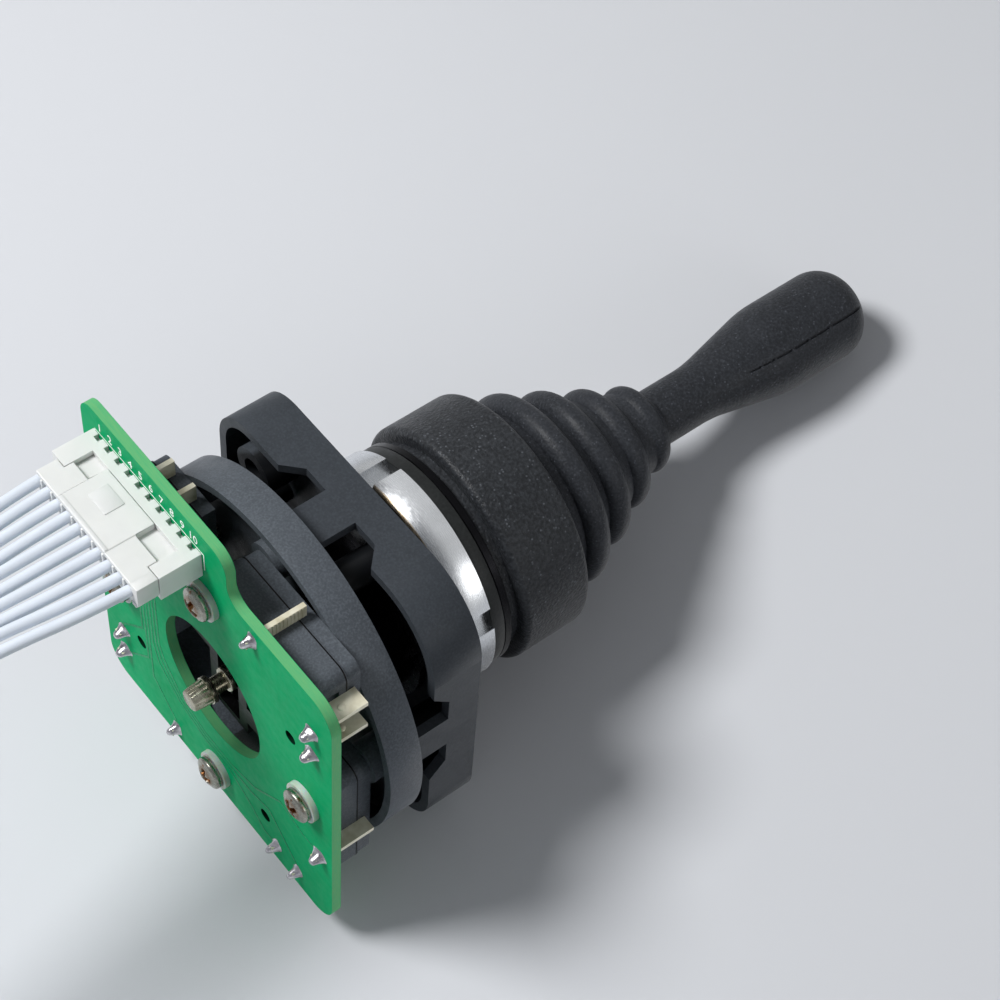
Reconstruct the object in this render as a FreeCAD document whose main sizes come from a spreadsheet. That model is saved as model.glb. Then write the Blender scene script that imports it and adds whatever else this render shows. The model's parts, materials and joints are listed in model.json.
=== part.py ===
# Panel joystick with a bellows boot, four contact blocks and a ten-way wired circuit board.
# Millimetres. The origin is the centre of the panel hole at the panel's front face,
# +Z runs up the lever to the handle, and the connector is on the -Y side.
import FreeCAD, Part
import Sketcher
import math
import os
from FreeCAD import Placement, Rotation, Vector

doc = FreeCAD.newDocument("Joystick")
sheet = doc.addObject("Spreadsheet::Sheet", "Sizes")
sheet_rows = []
subparts = []


class Size:
    """A number together with the sheet expression that gives it."""

    def __init__(self, value, text):
        self.value = float(value)
        self.text = text

    def __add__(self, other):
        other = as_size(other)
        return Size(self.value + other.value, f"({self.text} + {other.text})")

    def __sub__(self, other):
        other = as_size(other)
        return Size(self.value - other.value, f"({self.text} - {other.text})")

    def __mul__(self, other):
        other = as_size(other)
        return Size(self.value * other.value, f"({self.text} * {other.text})")

    def __truediv__(self, other):
        other = as_size(other)
        return Size(self.value / other.value, f"({self.text} / {other.text})")

    def __neg__(self):
        return Size(-self.value, f"(-{self.text})")


def as_size(number):
    if isinstance(number, Size):
        return number
    return Size(number, f"({float(number)})")


def size(alias, value):
    """Writes one driving dimension into the sheet."""
    sheet_rows.append(alias)
    row = len(sheet_rows)
    sheet.set(f"A{row}", alias.replace("_", " "))
    sheet.set(f"B{row}", str(value))
    sheet.setAlias(f"B{row}", alias)
    return Size(value, f"Sizes.{alias}")


# Running and assembly clearances
running_gap = size("running_gap", 0.05)
loose_gap = size("loose_gap", 0.3)
soft_gap = size("soft_gap", 0.3)

# Panel seat, barrel and bezel
thread_radius = size("thread_radius", 15.0)
thread_gap = size("thread_gap", 0.05)
spigot_step = size("spigot_step", 1.0)
barrel_wall = size("barrel_wall", 1.8)
spigot_rear = size("spigot_rear", 17.0)
gasket_width = size("gasket_width", 3.4)
gasket_thickness = size("gasket_thickness", 2.2)
flange_thickness = size("flange_thickness", 1.3)
neck_step = size("neck_step", 1.6)
neck_height = size("neck_height", 6.7)
seat_wall = size("seat_wall", 3.2)
seat_depth = size("seat_depth", 4.2)
spigot_radius = thread_radius - spigot_step
barrel_bore = spigot_radius - barrel_wall
gasket_radius = thread_radius + gasket_width
neck_radius = thread_radius + neck_step
seat_radius = neck_radius - seat_wall

# Ring nut
nut_width = size("nut_width", 3.85)
nut_height = size("nut_height", 5.25)
nut_slot_width = size("nut_slot_width", 3.7)
nut_slot_depth = size("nut_slot_depth", 1.9)
nut_chamfer = size("nut_chamfer", 0.5)
nut_slot_angle = size("nut_slot_angle", -20.0)
nut_radius = thread_radius + nut_width

# Front collar
collar_wall = size("collar_wall", 3.15)
collar_height = size("collar_height", 13.85)
collar_shoulder = size("collar_shoulder", 1.2)
collar_rear_round = size("collar_rear_round", 1.0)
collar_groove_wall = size("collar_groove_wall", 0.8)
collar_groove_height = size("collar_groove_height", 1.7)
collar_lip_width = size("collar_lip_width", 1.6)
collar_lip = size("collar_lip", 2.0)
collar_radius = neck_radius + collar_wall
collar_opening = neck_radius - collar_lip_width

# Mounting bracket
bracket_half = size("bracket_half", 25.8)
bracket_front = size("bracket_front", 8.75)
bracket_plate = size("bracket_plate", 1.6)
bracket_wall = size("bracket_wall", 1.6)
bracket_depth = size("bracket_depth", 8.2)
lobe_round = size("lobe_round", 8.0)
flank_round = size("flank_round", 12.0)
notch_depth = size("notch_depth", 2.8)
notch_half_foot = size("notch_half_foot", 10.9)
notch_half_top = size("notch_half_top", 8.0)
leg_width = size("leg_width", 6.9)
lobe_boss_offset = size("lobe_boss_offset", 17.3)
lobe_boss_radius = size("lobe_boss_radius", 4.0)
lobe_hole_radius = size("lobe_hole_radius", 2.15)
tie_boss_radius = size("tie_boss_radius", 2.6)
tie_x = size("tie_x", 6.5)
tie_y = size("tie_y", 19.5)
tie_hole_radius = size("tie_hole_radius", 1.0)
tie_screw_head = size("tie_screw_head", 2.2)
tie_screw_head_height = size("tie_screw_head_height", 1.6)
clip_width = size("clip_width", 1.9)
clip_thickness = size("clip_thickness", 1.2)
clip_groove = size("clip_groove", 0.6)
clip_radius = spigot_radius + clip_width

# Switch carrier
band_radius = size("band_radius", 29.45)
band_wall = size("band_wall", 1.4)
band_height = size("band_height", 5.6)
carrier_floor = size("carrier_floor", 1.6)
carrier_opening = size("carrier_opening", 12.5)
carrier_front = size("carrier_front", 21.35)
post_radius = size("post_radius", 3.2)
pad_radius = size("pad_radius", 2.0)
pad_side_margin = size("pad_side_margin", 4.8)
pad_margin = size("pad_margin", 6.5)

# Contact blocks
block_near = size("block_near", 2.3)
block_side_edge = size("block_side_edge", 6.7)
block_inner = size("block_inner", 11.8)
block_edge = size("block_edge", 4.0)
block_case_height = size("block_case_height", 6.0)
block_cover_height = size("block_cover_height", 2.2)
block_round = size("block_round", 2.0)
cover_inset = size("cover_inset", 0.2)
block_outer_wall = size("block_outer_wall", 1.4)
end_recess_depth = size("end_recess_depth", 1.0)
end_recess_margin = size("end_recess_margin", 3.0)
end_recess_top = size("end_recess_top", 1.5)

# Blade terminals
blade_thickness = size("blade_thickness", 0.8)
blade_front = size("blade_front", 28.1)
side_blade_margin = size("side_blade_margin", 11.2)
side_blade_width = size("side_blade_width", 2.3)
end_blade_width = size("end_blade_width", 3.1)
end_blade_margin = size("end_blade_margin", 4.5)
end_blade_pitch = size("end_blade_pitch", 5.3)
tail_width = size("tail_width", 1.4)
tail_edge = size("tail_edge", 0.45)
end_tail_edge = size("end_tail_edge", 0.15)
tail_length = size("tail_length", 1.2)
solder_radius = size("solder_radius", 1.45)
solder_tip = size("solder_tip", 0.75)
solder_height = size("solder_height", 1.9)

# Circuit board
board_thickness = size("board_thickness", 1.6)
board_half = size("board_half", 29.0)
board_left_step = size("board_left_step", 0.4)
board_far_step = size("board_far_step", 0.5)
board_hole = size("board_hole", 11.8)
board_round = size("board_round", 4.5)
tab_reach = size("tab_reach", 8.3)
tab_x = size("tab_x", 5.5)
tab_round = size("tab_round", 3.2)
screw_edge = size("screw_edge", 6.2)
screw_radius = size("screw_radius", 1.5)
screw_clearance = size("screw_clearance", 0.1)
screw_head = size("screw_head", 2.7)
screw_head_height = size("screw_head_height", 1.9)
screw_head_round = size("screw_head_round", 0.9)
screw_length = size("screw_length", 13.0)
recess_width = size("recess_width", 0.7)
recess_length = size("recess_length", 3.0)
recess_depth = size("recess_depth", 1.0)
washer_radius = size("washer_radius", 3.25)
washer_thickness = size("washer_thickness", 0.9)
peg_hole_edge = size("peg_hole_edge", 9.5)
peg_hole_y = size("peg_hole_y", 12.4)
peg_hole_radius = size("peg_hole_radius", 1.15)
board_left = board_half + board_left_step
board_far_y = board_half - board_far_step
tab_y = board_half + tab_reach
screw_circle = board_half - screw_edge
peg_hole_x = board_half - peg_hole_edge
block_outer = board_half - block_edge
block_far = board_half - block_side_edge
side_blade_x = block_far - side_blade_margin
end_blade_one = block_outer - end_blade_margin
end_blade_two = end_blade_one - end_blade_pitch
pad_x = block_far - pad_side_margin
pad_y = block_outer - pad_margin

# Connector
pin_pitch = size("pin_pitch", 2.5)
first_pin_margin = size("first_pin_margin", 4.9)
pin_row_offset = size("pin_row_offset", 2.2)
pin_side = size("pin_side", 0.64)
pin_solder_foot = size("pin_solder_foot", 0.9)
pin_solder_tip = size("pin_solder_tip", 0.5)
pin_above_board = size("pin_above_board", 1.4)
pin_inside_header = size("pin_inside_header", 5.2)
header_end_margin = size("header_end_margin", 1.8)
header_front_margin = size("header_front_margin", 1.9)
header_rear_margin = size("header_rear_margin", 3.1)
header_height = size("header_height", 6.7)
header_wall = size("header_wall", 0.9)
header_end_wall = size("header_end_wall", 1.45)
header_floor = size("header_floor", 1.3)
slot_start = size("slot_start", 3.2)
slot_end = size("slot_end", 2.4)
slot_depth = size("slot_depth", 4.55)
foot_window_width = size("foot_window_width", 1.1)
foot_window_height = size("foot_window_height", 0.8)
plug_gap = size("plug_gap", 0.12)
plug_rise = size("plug_rise", 3.5)
plug_lip_depth = size("plug_lip_depth", 1.35)
rib_margin = size("rib_margin", 3.8)
rib_far_margin = size("rib_far_margin", 5.3)
pocket_side = size("pocket_side", 2.0)
pocket_depth = size("pocket_depth", 3.0)
wire_radius = size("wire_radius", 0.85)
first_pin_x = first_pin_margin - board_left
pin_row_y = -(board_half + pin_row_offset)

# Gimbal, lever and sliders
pivot_depth = size("pivot_depth", 7.0)
tilt_limit = size("tilt_limit", 12.0)
gimbal_gap = size("gimbal_gap", 1.6)
gimbal_wall = size("gimbal_wall", 3.6)
gimbal_height = size("gimbal_height", 6.0)
pivot_pin_radius = size("pivot_pin_radius", 1.25)
trunnion_reach = size("trunnion_reach", 1.2)
hub_radius = size("hub_radius", 4.8)
rod_radius = size("rod_radius", 3.0)
tail_rod_radius = size("tail_rod_radius", 2.0)
rod_below_board = size("rod_below_board", 4.0)
rod_top = size("rod_top", 75.0)
rod_step = size("rod_step", 4.5)
rod_end_chamfer = size("rod_end_chamfer", 0.5)
drum_tip_radius = size("drum_tip_radius", 1.75)
drum_base_radius = size("drum_base_radius", 2.15)
tail_neck_radius = size("tail_neck_radius", 1.4)
tail_neck_rear = size("tail_neck_rear", 0.15)
tail_neck_front = size("tail_neck_front", 0.45)
slider_thickness = size("slider_thickness", 1.6)
slider_board_gap = size("slider_board_gap", 1.95)
slider_spacing = size("slider_spacing", 2.1)
slider_slot_gap = size("slider_slot_gap", 0.5)
slider_wall = size("slider_wall", 2.0)
slider_end_wall = size("slider_end_wall", 1.2)
slider_reach = size("slider_reach", 5.9)
nose_width = size("nose_width", 4.0)
nose_offset = size("nose_offset", 4.5)
gimbal_outer = barrel_bore - gimbal_gap
gimbal_inner = gimbal_outer - gimbal_wall

# Return spring
seat_ring_thickness = size("seat_ring_thickness", 1.4)
seat_ring_hole = size("seat_ring_hole", 7.8)
spring_wire_radius = size("spring_wire_radius", 0.7)
spring_base_radius = size("spring_base_radius", 9.6)
spring_top_radius = size("spring_top_radius", 5.2)
spring_height = size("spring_height", 15.0)
spring_turns = size("spring_turns", 4.0)
stop_radius = size("stop_radius", 6.6)
stop_thickness = size("stop_thickness", 2.4)

# Bellows boot
boot_wall = size("boot_wall", 1.4)
boot_bead_height = size("boot_bead_height", 4.4)
boot_waist_gap = size("boot_waist_gap", 0.6)
boot_shoulder_z = size("boot_shoulder_z", 20.4)
boot_neck_z = size("boot_neck_z", 43.6)
boot_top_z = size("boot_top_z", 44.9)
boot_neck_wall = size("boot_neck_wall", 0.9)
ring_one_z = size("ring_one_z", 23.05)
ring_pitch = size("ring_pitch", 6.5)
ring_one_radius = size("ring_one_radius", 16.2)
ring_two_radius = size("ring_two_radius", 13.3)
ring_three_radius = size("ring_three_radius", 10.25)
ring_four_radius = size("ring_four_radius", 7.4)
ring_bulge = size("ring_bulge", 2.1)
boot_waist_radius = collar_opening - boot_waist_gap

# Handle
handle_base_z = size("handle_base_z", 41.0)
handle_neck_radius = size("handle_neck_radius", 4.75)
handle_flare_start = size("handle_flare_start", 55.5)
handle_flare_end = size("handle_flare_end", 69.5)
handle_grip_radius = size("handle_grip_radius", 7.65)
handle_top_z = size("handle_top_z", 87.7)
handle_tip_round = size("handle_tip_round", 5.8)
handle_blend = size("handle_blend", 22.0)
seam_width = size("seam_width", 0.4)
seam_depth = size("seam_depth", 0.4)
seam_low = size("seam_low", 69.0)
seam_high = size("seam_high", 85.0)
seam_angle = size("seam_angle", -45.0)

# Levels that follow from the sizes above
board_front = carrier_front + band_height + block_cover_height + block_case_height
board_rear = board_front + board_thickness
block_seam = board_front - block_case_height
block_front = block_seam - block_cover_height
band_rear = carrier_front + band_height
flange_front = gasket_thickness + flange_thickness
neck_top = flange_front + neck_height
collar_rear = flange_front + collar_groove_height
collar_front = flange_front + collar_height
slider_x_depth = board_front - slider_board_gap
slider_y_depth = slider_x_depth - slider_spacing
boot_base = neck_top + soft_gap
zero = Size(0.0, "0")


def bind(thing, prop, value):
    thing.setExpression(prop, as_size(value).text)


def quarter(x, y, turn):
    """Turns a point about the Z axis by quarter turns."""
    for _ in range(turn % 4):
        x, y = -as_size(y), as_size(x)
    return x, y


def place(thing, x, y, z, turn=0):
    x, y = quarter(x, y, turn)
    thing.Placement = Placement(Vector(0, 0, 0), Rotation(Vector(0, 0, 1), 90 * turn))
    bind(thing, "Placement.Base.x", x)
    bind(thing, "Placement.Base.y", y)
    bind(thing, "Placement.Base.z", z)
    return thing


def block(name, low, high, turn=0):
    """A box between two corners, then turned about the Z axis by quarter turns."""
    made = doc.addObject("Part::Box", name)
    for prop, a, b in zip(("Length", "Width", "Height"), low, high):
        bind(made, prop, as_size(b) - a)
    return place(made, *low, turn)


def cylinder(name, radius, low, high, x=zero, y=zero, turn=0):
    made = doc.addObject("Part::Cylinder", name)
    bind(made, "Radius", radius)
    bind(made, "Height", as_size(high) - low)
    return place(made, x, y, low, turn)


def cross_cylinder(name, radius, start, end, z, along_y):
    """A cylinder that lies along X, or along Y."""
    made = doc.addObject("Part::Cylinder", name)
    bind(made, "Radius", radius)
    bind(made, "Height", as_size(end) - start)
    if along_y:
        made.Placement = Placement(Vector(0, 0, 0), Rotation(Vector(1, 0, 0), -90))
        bind(made, "Placement.Base.y", start)
    else:
        made.Placement = Placement(Vector(0, 0, 0), Rotation(Vector(0, 1, 0), 90))
        bind(made, "Placement.Base.x", start)
    bind(made, "Placement.Base.z", z)
    return made


def cone(name, low_radius, high_radius, low, high, x=zero, y=zero, turn=0):
    made = doc.addObject("Part::Cone", name)
    bind(made, "Radius1", low_radius)
    bind(made, "Radius2", high_radius)
    bind(made, "Height", as_size(high) - low)
    return place(made, x, y, low, turn)


def fuse(name, parts):
    made = doc.addObject("Part::MultiFuse", name)
    made.Shapes = parts
    return made


def cut(name, base, tools):
    made = doc.addObject("Part::Cut", name)
    made.Base = base
    made.Tool = tools[0] if len(tools) == 1 else fuse(name + "_tools", tools)
    return made


def together(name, parts):
    """Several like solids kept as one sub-part."""
    made = doc.addObject("Part::Compound", name)
    made.Links = parts
    return made


def subpart(thing, label):
    thing.Label = label
    subparts.append(thing)
    return thing


def origin_plane(body, role):
    return [item for item in body.Origin.OriginFeatures if item.Role == role][0]


def outline(body, name, role, points, level=None):
    """A closed sketch outline whose corners are all bound to the sheet."""
    sketch = body.newObject("Sketcher::SketchObject", name)
    sketch.AttachmentSupport = [(origin_plane(body, role), "")]
    sketch.MapMode = "FlatFace"
    if level is not None:
        bind(sketch, "AttachmentOffset.Base.z", level)
    points = [(as_size(x), as_size(y)) for x, y in points]
    corners = [Vector(x.value, y.value, 0) for x, y in points]
    count = len(corners)
    for k in range(count):
        sketch.addGeometry(Part.LineSegment(corners[k], corners[(k + 1) % count]), False)
    for k in range(count):
        sketch.addConstraint(Sketcher.Constraint("Coincident", k, 2, (k + 1) % count, 1))
    for k, point in enumerate(points):
        for kind, axis, value in (("DistanceX", -2, point[0]), ("DistanceY", -1, point[1])):
            if value.value == 0:
                sketch.addConstraint(Sketcher.Constraint("PointOnObject", k, 1, axis))
                continue
            ends = (-1, 1, k, 1) if value.value > 0 else (k, 1, -1, 1)
            text = value.text if value.value > 0 else f"-{value.text}"
            index = sketch.addConstraint(Sketcher.Constraint(kind, *ends, abs(value.value)))
            sketch.setExpression(f"Constraints[{index}]", text)
    return sketch


def round_edges(body, base, picks, kind="PartDesign::Fillet"):
    """Rounds or chamfers the edges that a test finds, each group with its own radius."""
    for test, radius in picks:
        doc.recompute()
        names = [f"Edge{k + 1}" for k, edge in enumerate(base.Shape.Edges) if test(edge)]
        made = body.newObject(kind, "Round" if kind.endswith("Fillet") else "Bevel")
        made.Base = (base, names)
        bind(made, "Radius" if kind.endswith("Fillet") else "Size", radius)
        base = made
    return base


def upright_at(corners):
    """Picks the upright edges that stand at the given corners."""
    spots = [(as_size(x).value, as_size(y).value) for x, y in corners]

    def test(edge):
        a, b = edge.Vertexes[0].Point, edge.Vertexes[-1].Point
        upright = abs(a.x - b.x) < 1e-4 and abs(a.y - b.y) < 1e-4 and abs(a.z - b.z) > 1e-3
        return upright and any(math.hypot(a.x - x, a.y - y) < 1e-3 for x, y in spots)

    return test


def circle_at(radius, z):
    """Picks the round edge of one radius at one level."""
    radius, z = as_size(radius).value, as_size(z).value

    def test(edge):
        curve = edge.Curve
        if not isinstance(curve, Part.Circle):
            return False
        return abs(curve.Radius - radius) < 1e-3 and abs(curve.Center.z - z) < 1e-3

    return test


def prism(name, points, low, high, rounds=(), turn=0):
    """An outline in X and Y pulled up from low to high, with chosen upright corners rounded."""
    body = doc.addObject("PartDesign::Body", name)
    sketch = outline(body, name + "_outline", "XY_Plane", points, low)
    pad = body.newObject("PartDesign::Pad", name + "_pad")
    pad.Profile = sketch
    bind(pad, "Length", as_size(high) - low)
    round_edges(body, pad, [(upright_at(corners), radius) for corners, radius in rounds])
    body.Placement = Placement(Vector(0, 0, 0), Rotation(Vector(0, 0, 1), 90 * turn))
    return body


def turned(name, points, rounds=()):
    """A profile of radius and height turned about the Z axis, with chosen round edges filleted."""
    body = doc.addObject("PartDesign::Body", name)
    sketch = outline(body, name + "_profile", "XZ_Plane", points)
    revolution = body.newObject("PartDesign::Revolution", name + "_turn")
    revolution.Profile = sketch
    revolution.ReferenceAxis = (sketch, ["V_Axis"])
    revolution.Angle = 360.0
    round_edges(body, revolution, [(circle_at(r, z), radius) for r, z, radius in rounds])
    return body


def rectangle(x_low, x_high, y_low, y_high):
    return [(x_low, y_low), (x_high, y_low), (x_high, y_high), (x_low, y_high)]


def make_gasket():
    ring = turned("Gasket", rectangle(thread_radius + thread_gap, gasket_radius, zero, gasket_thickness))
    subpart(ring, "panel_gasket")


def make_barrel():
    """The threaded barrel with its bezel flange, its rear spigot and the seat of the return spring."""
    groove_front = -(bracket_front + bracket_plate)
    groove_rear = groove_front - clip_thickness
    profile = [
        (barrel_bore, -spigot_rear),
        (spigot_radius, -spigot_rear),
        (spigot_radius, groove_rear),
        (spigot_radius - clip_groove, groove_rear),
        (spigot_radius - clip_groove, groove_front),
        (spigot_radius, groove_front),
        (spigot_radius, -bracket_front),
        (thread_radius, -bracket_front),
        (thread_radius, gasket_thickness),
        (gasket_radius, gasket_thickness),
        (gasket_radius, flange_front),
        (neck_radius, flange_front),
        (neck_radius, neck_top),
        (seat_radius, neck_top),
        (seat_radius, neck_top - seat_depth),
        (barrel_bore, neck_top - seat_depth),
    ]
    barrel = turned("Barrel", profile)
    reach = barrel_bore + trunnion_reach + running_gap
    bearing = cross_cylinder(
        "Barrel_bearing", pivot_pin_radius + running_gap, -reach, reach, -pivot_depth, along_y=True
    )
    subpart(cut("Barrel_bored", barrel, [bearing]), "threaded_barrel")


def make_clip():
    """The snap ring behind the bracket's plate."""
    front = -(bracket_front + bracket_plate)
    ring = turned("Clip", rectangle(spigot_radius - clip_groove, clip_radius, front - clip_thickness, front))
    subpart(ring, "barrel_clip")


def make_ring_nut():
    """A round nut with four spanner slots, turned to the angle at which it was tightened."""
    body = doc.addObject("PartDesign::Body", "Nut")
    profile = outline(
        body,
        "Nut_profile",
        "XZ_Plane",
        rectangle(thread_radius + thread_gap, nut_radius, -nut_height, zero),
    )
    ring = body.newObject("PartDesign::Revolution", "Nut_turn")
    ring.Profile = profile
    ring.ReferenceAxis = (profile, ["V_Axis"])
    ring.Angle = 360.0
    edges = [(circle_at(nut_radius, -nut_height), nut_chamfer)]
    bevel = round_edges(body, ring, edges, "PartDesign::Chamfer")
    doc.recompute()
    slot_outline = outline(
        body,
        "Nut_slot_outline",
        "XY_Plane",
        rectangle(
            nut_radius - nut_slot_depth,
            nut_radius + nut_slot_depth,
            -nut_slot_width / 2,
            nut_slot_width / 2,
        ),
    )
    slot = body.newObject("PartDesign::Pocket", "Nut_slot")
    slot.Profile = slot_outline
    bind(slot, "Length", nut_height)
    doc.recompute()
    if slot.Shape.Volume > bevel.Shape.Volume - 1:
        raise RuntimeError("the nut's slot cuts nothing")
    slots = body.newObject("PartDesign::PolarPattern", "Nut_slots")
    slots.Originals = [slot]
    slots.Axis = (slot_outline, ["N_Axis"])
    slots.Angle = 360.0
    slots.Occurrences = 4
    body.Tip = slots
    body.Placement = Placement(Vector(0, 0, 0), Rotation(Vector(0, 0, 1), nut_slot_angle.value))
    bind(body, "Placement.Rotation.Yaw", nut_slot_angle)
    subpart(body, "ring_nut")


def make_collar():
    """The rubber collar: a narrow foot on the flange, a full band, and a lip that holds the boot's bead."""
    foot_radius = neck_radius + collar_groove_wall
    profile = [
        (neck_radius + running_gap, flange_front),
        (foot_radius, flange_front),
        (foot_radius, collar_rear),
        (collar_radius, collar_rear),
        (collar_radius, collar_front),
        (collar_opening, collar_front),
        (collar_opening, collar_front - collar_lip),
        (neck_radius + running_gap, collar_front - collar_lip),
    ]
    rounds = [
        (collar_radius, collar_front, collar_shoulder),
        (collar_radius, collar_rear, collar_rear_round),
    ]
    subpart(turned("Collar", profile, rounds), "front_collar")


def bracket_outline(half):
    return rectangle(-half, half, -half, half)


def bracket_rounds(half, lobe, flank):
    return [
        ([(-half, -half), (half, half)], lobe),
        ([(half, -half), (-half, half)], flank),
    ]


def make_bracket():
    """A square shell open at the rear, with two tight-cornered lobes, four legs and six bosses."""
    front = -bracket_front
    rear = front - bracket_depth
    inner = bracket_half - bracket_wall
    shell = prism(
        "Bracket_shell",
        bracket_outline(bracket_half),
        rear,
        front,
        bracket_rounds(bracket_half, lobe_round, flank_round),
    )
    hollow = prism(
        "Bracket_hollow",
        bracket_outline(inner),
        rear - bracket_plate,
        front - bracket_plate,
        bracket_rounds(inner, lobe_round - bracket_wall, flank_round - bracket_wall),
    )
    notch_top = rear + notch_depth
    notches = []
    for turn in range(2):
        notch = doc.addObject("Part::Wedge", "Bracket_notch")
        for prop, value in (
            ("Xmin", -notch_half_foot),
            ("Xmax", notch_half_foot),
            ("X2min", -notch_half_top),
            ("X2max", notch_half_top),
            ("Ymin", zero),
            ("Ymax", notch_depth),
            ("Zmin", -bracket_half - bracket_wall),
            ("Zmax", bracket_half + bracket_wall),
            ("Z2min", -bracket_half - bracket_wall),
            ("Z2max", bracket_half + bracket_wall),
        ):
            bind(notch, prop, value)
        stand = Rotation(Vector(1, 0, 0), 90)
        notch.Placement = Placement(Vector(0, 0, 0), Rotation(Vector(0, 0, 1), 90 * turn) * stand)
        bind(notch, "Placement.Base.z", rear)
        notches.append(notch)
    legs = []
    for turn in range(4):
        low = (-leg_width / 2, -bracket_half, -carrier_front)
        high = (leg_width / 2, -inner, notch_top)
        legs.append(block("Bracket_leg", low, high, turn))
    bosses = []
    holes = [cylinder("Bracket_opening", spigot_radius + running_gap, front - bracket_plate, front)]
    for side in (-1, 1):
        spot = lobe_boss_offset * side
        bosses.append(cylinder("Lobe_boss", lobe_boss_radius, rear, front - bracket_plate, spot, spot))
        holes.append(cylinder("Lobe_hole", lobe_hole_radius, rear, front, spot, spot))
    pilot_top = front - bracket_plate * 2
    for turn in range(4):
        top = front - bracket_plate
        bosses.append(cylinder("Tie_boss", tie_boss_radius, -carrier_front, top, tie_x, -tie_y, turn))
        holes.append(cylinder("Tie_pilot", tie_hole_radius, -carrier_front, pilot_top, tie_x, -tie_y, turn))
    open_shell = cut("Bracket_open", shell, [hollow] + notches)
    whole = fuse("Bracket_whole", [open_shell] + legs + bosses)
    subpart(cut("Bracket", whole, holes), "mounting_bracket")


def make_carrier():
    """The round switch carrier: a band, a floor with the lever's opening, posts and pads."""
    floor_rear = -(carrier_front + carrier_floor)
    profile = [
        (band_radius - band_wall, -band_rear),
        (band_radius, -band_rear),
        (band_radius, -carrier_front),
        (carrier_opening, -carrier_front),
        (carrier_opening, floor_rear),
        (band_radius - band_wall, floor_rear),
    ]
    dish = turned("Carrier_dish", profile)
    supports = []
    holes = []
    for turn in range(4):
        low, high = -band_rear, floor_rear
        supports.append(cylinder("Carrier_post", post_radius, low, high, zero, -screw_circle, turn))
        supports.append(cylinder("Carrier_pad", pad_radius, low, high, pad_x, -pad_y, turn))
        bore_top = -(board_rear - screw_length) + running_gap
        holes.append(
            cylinder("Carrier_bore", screw_radius + running_gap, low, bore_top, zero, -screw_circle, turn)
        )
        tie_radius = tie_hole_radius + running_gap
        holes.append(
            cylinder("Tie_hole", tie_radius, floor_rear, -carrier_front, tie_x, -tie_y, turn)
        )
    whole = fuse("Carrier_whole", [dish] + supports)
    subpart(cut("Carrier", whole, holes), "switch_carrier")


def make_tie_screws():
    """Four screws that hold the carrier on the bracket's tie bosses."""
    screws = []
    floor_rear = -(carrier_front + carrier_floor)
    for turn in range(4):
        head_low = floor_rear - tie_screw_head_height
        head = cylinder("Tie_head", tie_screw_head, head_low, floor_rear, tie_x, -tie_y, turn)
        shank_top = -(bracket_front + bracket_plate * 3)
        shank = cylinder("Tie_shank", tie_hole_radius, floor_rear, shank_top, tie_x, -tie_y, turn)
        screws.append(fuse("Tie_screw", [head, shank]))
    subpart(together("Tie_screws", screws), "carrier_screws")


def nose_levels(turn):
    """The rear and front level of the slider nose that works in a block."""
    depth = slider_y_depth if turn % 2 == 0 else slider_x_depth
    return -depth - slider_thickness / 2, -depth + slider_thickness / 2


def make_contact_block(turn, side):
    """One contact block: its case, its cover and its three blade terminals."""
    corners = rectangle(-block_near, block_far, -block_outer, -block_inner)
    outer_corners = [(-block_near, -block_outer), (block_far, -block_outer)]
    case = prism(f"Case_{side}", corners, -board_front, -block_seam, [(outer_corners, block_round)], turn)
    nose_low, nose_high = nose_levels(turn)
    window = block(
        "Case_window",
        (nose_offset - nose_width / 2 - loose_gap, -block_outer + block_outer_wall, nose_low - loose_gap),
        (nose_offset + nose_width / 2 + loose_gap, -block_inner, nose_high + loose_gap),
        turn,
    )
    recess = block(
        "Case_recess",
        (block_far - end_recess_depth, -block_outer + end_recess_margin, -board_front),
        (block_far, -block_inner - end_recess_margin / 2, -block_seam - end_recess_top),
        turn,
    )
    hole_radius = screw_radius + screw_clearance
    case_hole = cylinder("Case_hole", hole_radius, -board_front, -block_seam, zero, -screw_circle, turn)
    subpart(cut(f"Case_{side}_open", case, [window, recess, case_hole]), f"contact_case_{side}")

    inset = rectangle(
        -block_near + cover_inset,
        block_far - cover_inset,
        -block_outer + cover_inset,
        -block_inner - cover_inset,
    )
    inset_corners = [
        (-block_near + cover_inset, -block_outer + cover_inset),
        (block_far - cover_inset, -block_outer + cover_inset),
    ]
    rounds = [(inset_corners, block_round - cover_inset)]
    cover = prism(f"Cover_{side}", inset, -block_seam, -block_front, rounds, turn)
    cover_hole = cylinder("Cover_hole", hole_radius, -block_seam, -block_front, zero, -screw_circle, turn)
    subpart(cut(f"Cover_{side}_open", cover, [cover_hole]), f"contact_cover_{side}")

    blades = []
    for box_low, box_high in blade_boxes():
        blades.append(block("Blade", box_low, box_high, turn))
    for box_low, box_high in tail_boxes(zero):
        blades.append(block("Blade_tail", box_low, box_high, turn))
    pairs = [fuse("Blade_whole", [blades[k], blades[k + 3]]) for k in range(3)]
    subpart(together(f"Blades_{side}", pairs), f"terminals_{side}")


def blade_boxes():
    """The three blades of the block on the -Y side, above the board."""
    half = blade_thickness / 2
    low, high = -board_front, -blade_front
    side_low = (side_blade_x - half, -block_outer - side_blade_width, low)
    side_high = (side_blade_x + half, -block_outer, high)
    made = [(side_low, side_high)]
    for y in (end_blade_one, end_blade_two):
        made.append(((block_far, -y - half, low), (block_far + end_blade_width, -y + half, high)))
    return made


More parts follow.
